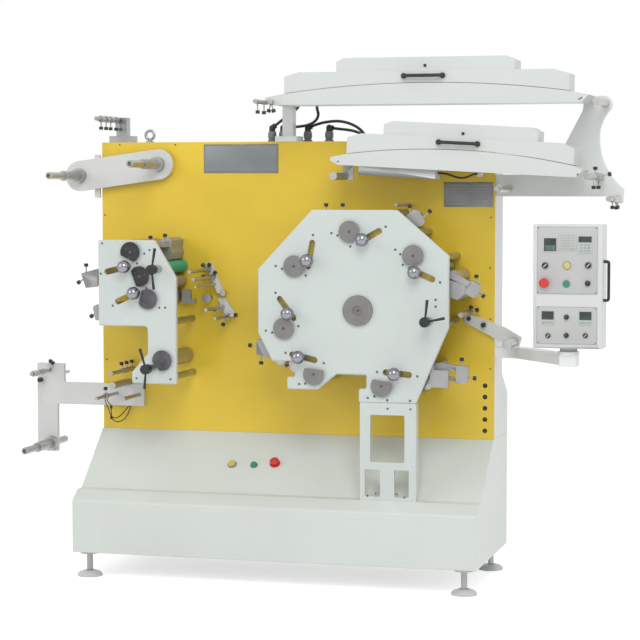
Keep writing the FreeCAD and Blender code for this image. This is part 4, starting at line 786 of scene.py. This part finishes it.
makeScrews("octagonScrews", "frame", octagonScrews, fronts["plate"], screwSet["octagon"])
makeScrews("leftPlateScrews", "frame", leftScrews, fronts["plate"], screwSet["left"])
makeScrews("legScrews", "frame", legScrews, fronts["leg"], screwSet["leg"])
makeScrews("panelScrews", "frame", panelScrews, fronts["panel"], screwSet["panel"])
makeDiscScrews()

# Black plugs in the row of ports at the panel's right edge: painted shade of the open holes

portSet = {"x": 1664.0, "low": 619.0, "pitch": 46.3, "count": 5, "radius": 9.9}


def makePortShades():
    bm = bmesh.new()
    y, r = fronts["panel"], portSet["radius"]
    profile = [(y + 3, 0), (y + 3, r * 0.55), (y + 1.2, r * 0.62), (y + 0.4, r * 0.85), (y + 0.4, r),
               (y + 7, r), (y + 7, 0)]
    for number in range(portSet["count"]):
        turned(bm, portSet["x"], portSet["low"] + number * portSet["pitch"], profile, 28)
    finishPiece(bm, "panelPortShades", "frame", ["blackPlastic"])


makePortShades()
print("screws set")

# Hood handles and locks

hoodSet = {
    "upperHood": {"body": "upper_hood", "x": 878.0, "z": 1944.0, "length": 1154.0, "tilt": 0.0,
                  "shift": -2.5},
    "lowerHood": {"body": "lower_hood", "x": 1135.0, "z": 1701.0, "length": 916.0, "tilt": 3.05,
                  "shift": -4.0},
}
handleSet = {"length": 157.0, "bar": 6.9, "standOff": 24.0, "drop": 20.0, "lid": 84.0, "tray": 47.0,
             "foot": 11.0, "footTall": 12.0}


def hoodSpot(hood, x, y, z):
    turn = math.radians(hood["tilt"])
    return place(hood["x"] + x * math.cos(turn) + z * math.sin(turn), y,
                 hood["z"] - x * math.sin(turn) + z * math.cos(turn))


def makeTube(name, points, radius, body, finish, order=4, stands=()):
    curve = bpy.data.curves.new(name, "CURVE")
    curve.dimensions = "3D"
    curve.bevel_depth = radius / 1000
    curve.bevel_resolution = 5
    curve.use_fill_caps = True
    line = curve.splines.new("NURBS")
    line.points.add(len(points) - 1)
    for point, spot in zip(line.points, points):
        point.co = (*spot, 1)
    line.order_u = order
    line.use_endpoint_u = True
    line.resolution_u = 8
    curve.materials.append(paints[finish])
    seatPiece(name, curve, body, stands)


def makeHoodHandle(name, hood):
    z = handleSet["tray"] + handleSet["lid"] - handleSet["drop"]
    x0 = (hood["length"] - handleSet["length"]) / 2 + hood["shift"]
    x1 = x0 + handleSet["length"]
    face = fronts["lid"]
    bar = face - handleSet["standOff"]
    half = [(0, face), (0, face - 8), (0, bar + 6), (2, bar), (12, bar), (40, bar)]
    steps = [(x0 + x, y) for x, y in half] + [(x1 - x, y) for x, y in reversed(half)]
    makeTube(name, [hoodSpot(hood, x, y, z) for x, y in steps], handleSet["bar"], hood["body"],
             "blackPlastic", 3)
    foot, top = handleSet["foot"], face - handleSet["footTall"]
    bm = bmesh.new()
    for x in (x0, x1):
        spot = hoodSpot(hood, x, 0, z)
        turned(bm, spot.x * 1000 + middle["x"], spot.z * 1000,
               [(top, 0), (top, foot - 2), (top + 2, foot), (face - 0.1, foot), (face - 0.1, 0)], 24)
    finishPiece(bm, name + "Feet", hood["body"], ["blackPlastic"])


for name, hood in hoodSet.items():
    makeHoodHandle(name + "Handle", hood)

# Leads of the web sensor, from its clamp on the guide shaft into the unwinder's arm

leadSet = {"radius": 2.0, "plug": 5.0, "plugLength": 15.0, "soft": 1.2,
           "plugs": [(61.5, 299, 679), (61, 301, 634)]}
leadRoutes = {
    "sensorLeadLeft": [(72, 202, 724), (70, 204, 712), (69, 238, 690), (62, 285, 648), (62, 318, 629),
                       (78, 332, 628), (98, 336, 646), (118, 345, 672), (125, 348, 684)],
    "sensorLeadRight": [(80, 202, 724), (79, 206, 712), (70, 262, 698), (62, 298, 676), (61, 300, 632),
                        (70, 312, 616), (92, 330, 611), (116, 340, 632), (130, 347, 668), (132, 348, 684)],
}
for name, route in leadRoutes.items():
    makeTube(name, [place(*spot) for spot in route], leadSet["radius"], "frame", "hoseRubber")


def makeLeadPlugs():
    bm = bmesh.new()
    for x, y, z in leadSet["plugs"]:
        made = bmesh.ops.create_cone(bm, cap_ends=True, cap_tris=False, segments=20,
                                     radius1=leadSet["plug"] / 1000, radius2=leadSet["plug"] / 1000,
                                     depth=leadSet["plugLength"] / 1000,
                                     matrix=Matrix.Translation(place(x, y, z)))
        rims = [edge for edge in {e for v in made["verts"] for e in v.link_edges}
                if abs(edge.verts[0].co.z - edge.verts[1].co.z) < 1e-6]
        soften(bm, rims, leadSet["soft"])
    finishPiece(bm, "sensorPlugs", "frame", ["blackPlastic"])


makeLeadPlugs()


def makeHoodLock(name, body, x, z, y, radius):
    bm = bmesh.new()
    turned(bm, x, z, [(y - 3, 0), (y - 3, radius * 0.5), (y - 5, radius * 0.55), (y - 5, radius * 0.9),
                      (y - 4, radius), (y, radius), (y, 0)], 24)
    finishPiece(bm, name, body, ["blackPlastic"])


lockSet = {"lid": 5, "cover": 6}
makeHoodLock("upperLidLock", "upper_hood", 1457, 2058, fronts["lid"], lockSet["lid"])
makeHoodLock("upperCoverLock", "upper_hood", 1457, 2096, fronts["cover"], lockSet["cover"])
makeHoodLock("lowerLidLock", "lower_hood", 1608, 1786, fronts["lid"], lockSet["lid"])
makeHoodLock("lowerCoverLock", "lower_hood", 1612, 1825, fronts["cover"], lockSet["cover"])
makeScrews("upperTrayMarks", "frame", [(2074, 1956), (2082, 1960)], fronts["tray"], screwSet["tray"])
makeScrews("lowerTrayMarks", "frame", [(1104, 1716), (2070, 1663)], fronts["tray"], screwSet["tray"])

# Control box with its controls

boxSet = {"x": 1919.5, "front": -13.5, "insets": -10.5, "pointer": 42,
          "insetLevels": [(1203, 1463), (1009, 1154)]}
controlPaints = ["insetPaint", "screenGlass", "keyGrey", "blackPlastic", "chrome", "redPlastic",
                 "greenPlastic", "yellowPlastic", "seamShade", "keyGreen", "greenGlass", "consolePaint"]
controlMark = {name: number for number, name in enumerate(controlPaints)}
# Displays and key fields: left, bottom, width and height in millimetres, the screen in
# shares of that, the keys across and down and their field in shares, and their finish
driveSet = {"screen": (0.04, 0.38, 0.96, 0.96), "keys": (4, 1, 0.06, 0.06, 0.94, 0.32),
            "finish": "keyGreen"}
displaySet = [
    {"at": (38.5, 1364, 56, 58), "screen": (0.07, 0.07, 0.93, 0.93)},
    {"at": (173.5, 1360, 56, 68), "screen": (0.05, 0.62, 0.95, 0.96),
     "keys": (3, 3, 0.12, 0.06, 0.88, 0.56), "finish": "keyGreen"},
    {"at": (101.5, 1370, 66, 66), "keys": (6, 6, 0.06, 0.04, 0.94, 0.96), "finish": "keyGrey"},
    {"at": (33.5, 1082, 51, 56), **driveSet},
    {"at": (179.5, 1082, 51, 56), **driveSet},
]
# how far the pieces of a display stand out; its lit patch and the keys' gaps in shares
tileSet = {"panel": 2.6, "glass": 2.95, "key": 2.98, "patch": (2.9, 3.0), "lit": (0.14, 0.14, 0.86, 0.46),
           "gap": (0.14, 0.18)}


def addSlab(bm, x0, z0, x1, z1, back, front, mark, bevel):
    # flat tile that stands from back to front, with bevelled front edges
    before = set(bm.faces)
    centre = (place(x0, back, z0) + place(x1, front, z1)) / 2
    size = Matrix.Diagonal(((x1 - x0) / 1000, (back - front) / 1000, (z1 - z0) / 1000, 1))
    made = bmesh.ops.create_cube(bm, size=1, matrix=Matrix.Translation(centre) @ size)
    faces = {face for vert in made["verts"] for face in vert.link_faces}
    level = place(0, front, 0).y
    rim = [edge for edge in {e for f in faces for e in f.edges}
           if all(abs(v.co.y - level) < 1e-6 for v in edge.verts)]
    soften(bm, rim, bevel)
    for face in bm.faces:
        if face not in before:
            face.material_index = mark


def addTile(bm, tile, share, back, front, finish, bevel):
    x, z, w, h = tile
    a, b, c, d = share
    addSlab(bm, x + w * a, z + h * b, x + w * c, z + h * d, back, front, controlMark[finish], bevel)


def makeDisplays():
    bm = bmesh.new()
    front = boxSet["front"]
    panel = front - tileSet["panel"]
    gapX, gapZ = tileSet["gap"]
    for display in displaySet:
        x, z, w, h = display["at"]
        tile = (boxSet["x"] + x, z, w, h)
        addTile(bm, tile, (0, 0, 1, 1), front, panel, "insetPaint", 0.8)
        if "screen" in display:
            addTile(bm, tile, display["screen"], panel, front - tileSet["glass"], "screenGlass", 0.2)
        if "keys" not in display:
            back, rise = tileSet["patch"]
            addTile(bm, tile, tileSet["lit"], front - back, front - rise, "greenGlass", 0.03)
            continue
        across, down, a, b, c, d = display["keys"]
        stepX = w * (c - a) / across
        stepZ = h * (d - b) / down
        for i in range(across):
            for j in range(down):
                key = (tile[0] + w * a + i * stepX, z + h * b + j * stepZ, stepX, stepZ)
                addTile(bm, key, (gapX, gapZ, 1 - gapX, 1 - gapZ), panel, front - tileSet["key"],
                        display["finish"], 0.15)
    return bm


# Buttons of the box: place, radius, height and kind
boxButtons = [
    (47.5, 1312, 14, 10, "selector"), (132.5, 1313, 16, 10, "yellow"), (214.5, 1314, 14, 10, "selector"),
    (45.5, 1245, 19, 24, "mushroom"), (130.5, 1242, 15, 10, "green"), (212.5, 1245, 11, 14, "dial"),
    (131.5, 1114, 10, 14, "dial"), (131.5, 1043, 10, 14, "dial"), (60.5, 1041, 11, 10, "selector"),
    (205.5, 1044, 11, 10, "selector"),
]


def addButton(bm, x, z, r, tall, kind):
    x = boxSet["x"] + x
    y = boxSet["front"]
    top = y - tall
    black, chrome = controlMark["blackPlastic"], controlMark["chrome"]
    if kind == "mushroom":
        turned(bm, x, z, [(y, 0), (y, r * 0.72), (y - 4, r * 0.72), (y - 5, r * 0.6), (y - 10, r * 0.6),
                          (y - 12, r * 0.92), (y - 14, r), (y - 19, r), (y - 22, r * 0.86),
                          (top + 0.6, r * 0.5), (top, 0)], 32, controlMark["redPlastic"])
    elif kind in ("yellow", "green"):
        turned(bm, x, z, [(y, 0), (y, r), (y - 3, r), (y - 4, r * 0.93), (y - 4, r * 0.84)], 32, chrome)
        turned(bm, x, z, [(y - 3, 0), (y - 3, r * 0.84), (y - 6, r * 0.84), (y - 7.5, r * 0.76),
                          (y - 8.2, r * 0.4), (y - 8.4, 0)], 32, controlMark[kind + "Plastic"])
    elif kind == "selector":
        turned(bm, x, z, [(y, 0), (y, r), (y - 3, r), (y - 4, r * 0.92), (y - 4, r * 0.8)], 32, chrome)
        turned(bm, x, z, [(y - 3, 0), (y - 3, r * 0.8), (y - 6, r * 0.8), (y - 6.4, r * 0.72),
                          (y - 6.4, 0)], 32, black)
        known = set(bm.verts)
        addSlab(bm, x - r * 0.24, z - r * 0.66, x + r * 0.24, z + r * 0.66, y - 6.2, top, black, 0.8)
        addSlab(bm, x - r * 0.11, z - r * 0.58, x + r * 0.11, z + r * 0.62, top + 0.3, top - 0.06,
                controlMark["consolePaint"], 0.05)
        fresh = [vert for vert in bm.verts if vert not in known]
        bmesh.ops.rotate(bm, verts=fresh, cent=place(x, 0, z),
                         matrix=Matrix.Rotation(math.radians(boxSet["pointer"]), 3, "Y"))
    else:
        turned(bm, x, z, [(y, 0), (y, r), (y - 3, r), (y - 4, r * 0.86), (top + 1.5, r * 0.74),
                          (top, r * 0.62), (top, 0)], 28, black)
        addSlab(bm, x - 0.7, z + r * 0.1, x + 0.7, z + r * 0.6, top + 0.3, top - 0.1,
                controlMark["keyGrey"], 0.1)


def makeControls():
    bm = makeDisplays()
    for button in boxButtons:
        addButton(bm, *button)
    finishPiece(bm, "boxControls", "console", controlPaints, ("box_controls",))


makeControls()
dressNode("control_box", "console", ["consolePaint"])

# left and right edges, margin above and below, and how far each stands out
insetSet = {"seam": (15.2, 249.8, 0.2, 0.05), "panel": (17.4, 247.6, 2.4, 0.2), "screws": (21, 244, 6, 0.2)}


def makeInsets():
    # darker panels over the raised ones of the control box, each with four screws and a dark rim round it:
    # painted shade of the seam
    bm = bmesh.new()
    x, front = boxSet["x"], boxSet["front"]
    for low, high in boxSet["insetLevels"]:
        for key, mark, bevel in (("seam", 2, 0.4), ("panel", 0, 0.1)):
            left, right, margin, rise = insetSet[key]
            addSlab(bm, x + left, low + margin, x + right, high - margin, boxSet["insets"] - 1,
                    front - rise, mark, bevel)
        left, right, margin, rise = insetSet["screws"]
        for side in (left, right):
            for z in (low + margin, high - margin):
                before = set(bm.faces)
                addScrew(bm, place(x + side, front - rise, z), 2.4, 1.0)
                for face in bm.faces:
                    if face not in before:
                        face.material_index = 1
    finishPiece(bm, "boxInsets", "console", ["insetPaint", "screwSteel", "ruledPrintAndSeamShade"])


makeInsets()
boxHandleSet = {"x": boxSet["x"] + 268, "y": 27, "radius": 6.0}
handleRoute = [(0, 1178), (8, 1178), (17, 1178.5), (20, 1184), (20, 1196), (20, 1310), (20, 1322),
               (17, 1327.5), (8, 1328), (0, 1328)]
makeTube("boxHandle", [place(boxHandleSet["x"] + x, boxHandleSet["y"], z) for x, z in handleRoute],
         boxHandleSet["radius"], "console", "blackPlastic", 3, ("box_handle",))
print("control box ready")

# Push buttons on the slanted desk

deskSet = {"low": (105.0, 360.0), "high": (359.0, 583.0)}
deskPaints = ["yellowPlastic", "greenPlastic", "redPlastic", "plateSilver"]
# place along the desk, share of its slope, radius, height and finish
deskButtons = [(625.0, 0.458, 16.0, 12.0, "yellowPlastic"), (720.0, 0.458, 12.5, 12.0, "greenPlastic"),
               (808.0, 0.496, 19.0, 24.0, "redPlastic")]


def makeDeskButtons():
    (y0, z0), (y1, z1) = deskSet["low"], deskSet["high"]
    lean = math.atan2(z1 - z0, y1 - y0)
    bm = bmesh.new()
    for x, share, r, h, finish in deskButtons:
        foot = place(x, y0 + (y1 - y0) * share, z0 + (z1 - z0) * share)
        mark, rim = deskPaints.index(finish), deskPaints.index("plateSilver")
        before = set(bm.verts)
        if finish == "redPlastic":
            turned(bm, 0, 0, [(0, 0), (0, r + 3), (-3, r + 3), (-4, r + 2), (-4, r * 0.7), (-10, r * 0.7),
                              (-12, r * 0.94), (-14, r), (-19, r), (-22, r * 0.85), (-h + 0.6, r * 0.5),
                              (-h, 0)], 36, mark)
        else:
            turned(bm, 0, 0, [(0, 0), (0, r + 3), (-3, r + 3), (-4, r + 2), (-4, r)], 36, rim)
            turned(bm, 0, 0, [(-3, 0), (-3, r), (-h + 2, r), (-h, r - 2), (-h, 0)], 36, mark)
        fresh = [vert for vert in bm.verts if vert not in before]
        bmesh.ops.translate(bm, verts=fresh, vec=-place(0, 0, 0))
        turn = Matrix.Rotation(-(math.pi / 2 - lean), 4, "X")
        bmesh.ops.transform(bm, matrix=Matrix.Translation(foot) @ turn, verts=fresh)
    finishPiece(bm, "deskButtons", "frame", deskPaints, ("base_buttons",))


makeDeskButtons()

# Blank name plates: a pale one with a darker rim and a dark ruled one

plateSet = {"pale": (461, 1672, 325, 120, 3.0), "rim": 6, "ruled": (1490, 1533, 204, 101, 2.0), "rows": 7,
            "margin": 7, "columns": (0.46, 0.49)}


def makeNamePlates():
    bm = bmesh.new()
    x, z, w, h, thick = plateSet["pale"]
    face = fronts["panel"]
    rim, margin = plateSet["rim"], plateSet["margin"]
    addSlab(bm, x, z, x + w, z + h, face, face - thick + 0.6, 1, 0.4)
    addSlab(bm, x + rim, z + rim, x + w - rim, z + h - rim, face - thick + 0.6, face - thick, 0, 0.4)
    x, z, w, h, thick = plateSet["ruled"]
    addSlab(bm, x, z, x + w, z + h, face, face - thick + 0.4, 2, 0.3)
    row = (h - 2 * margin) / plateSet["rows"]
    first, second = plateSet["columns"]
    for number in range(plateSet["rows"]):
        z0 = z + margin + number * row
        for a, b in ((margin, first * w), (second * w, w - margin)):
            addSlab(bm, x + a, z0 + row * 0.2, x + b, z0 + row * 0.8, face - thick + 0.4, face - thick, 3,
                    0.15)
    finishPiece(bm, "namePlates", "frame", ["plateSilver", "glandGrey", "plateSilver", "ruledPrintAndSeamShade"],
                ("name_plates",))


makeNamePlates()
print("desk and name plates ready")
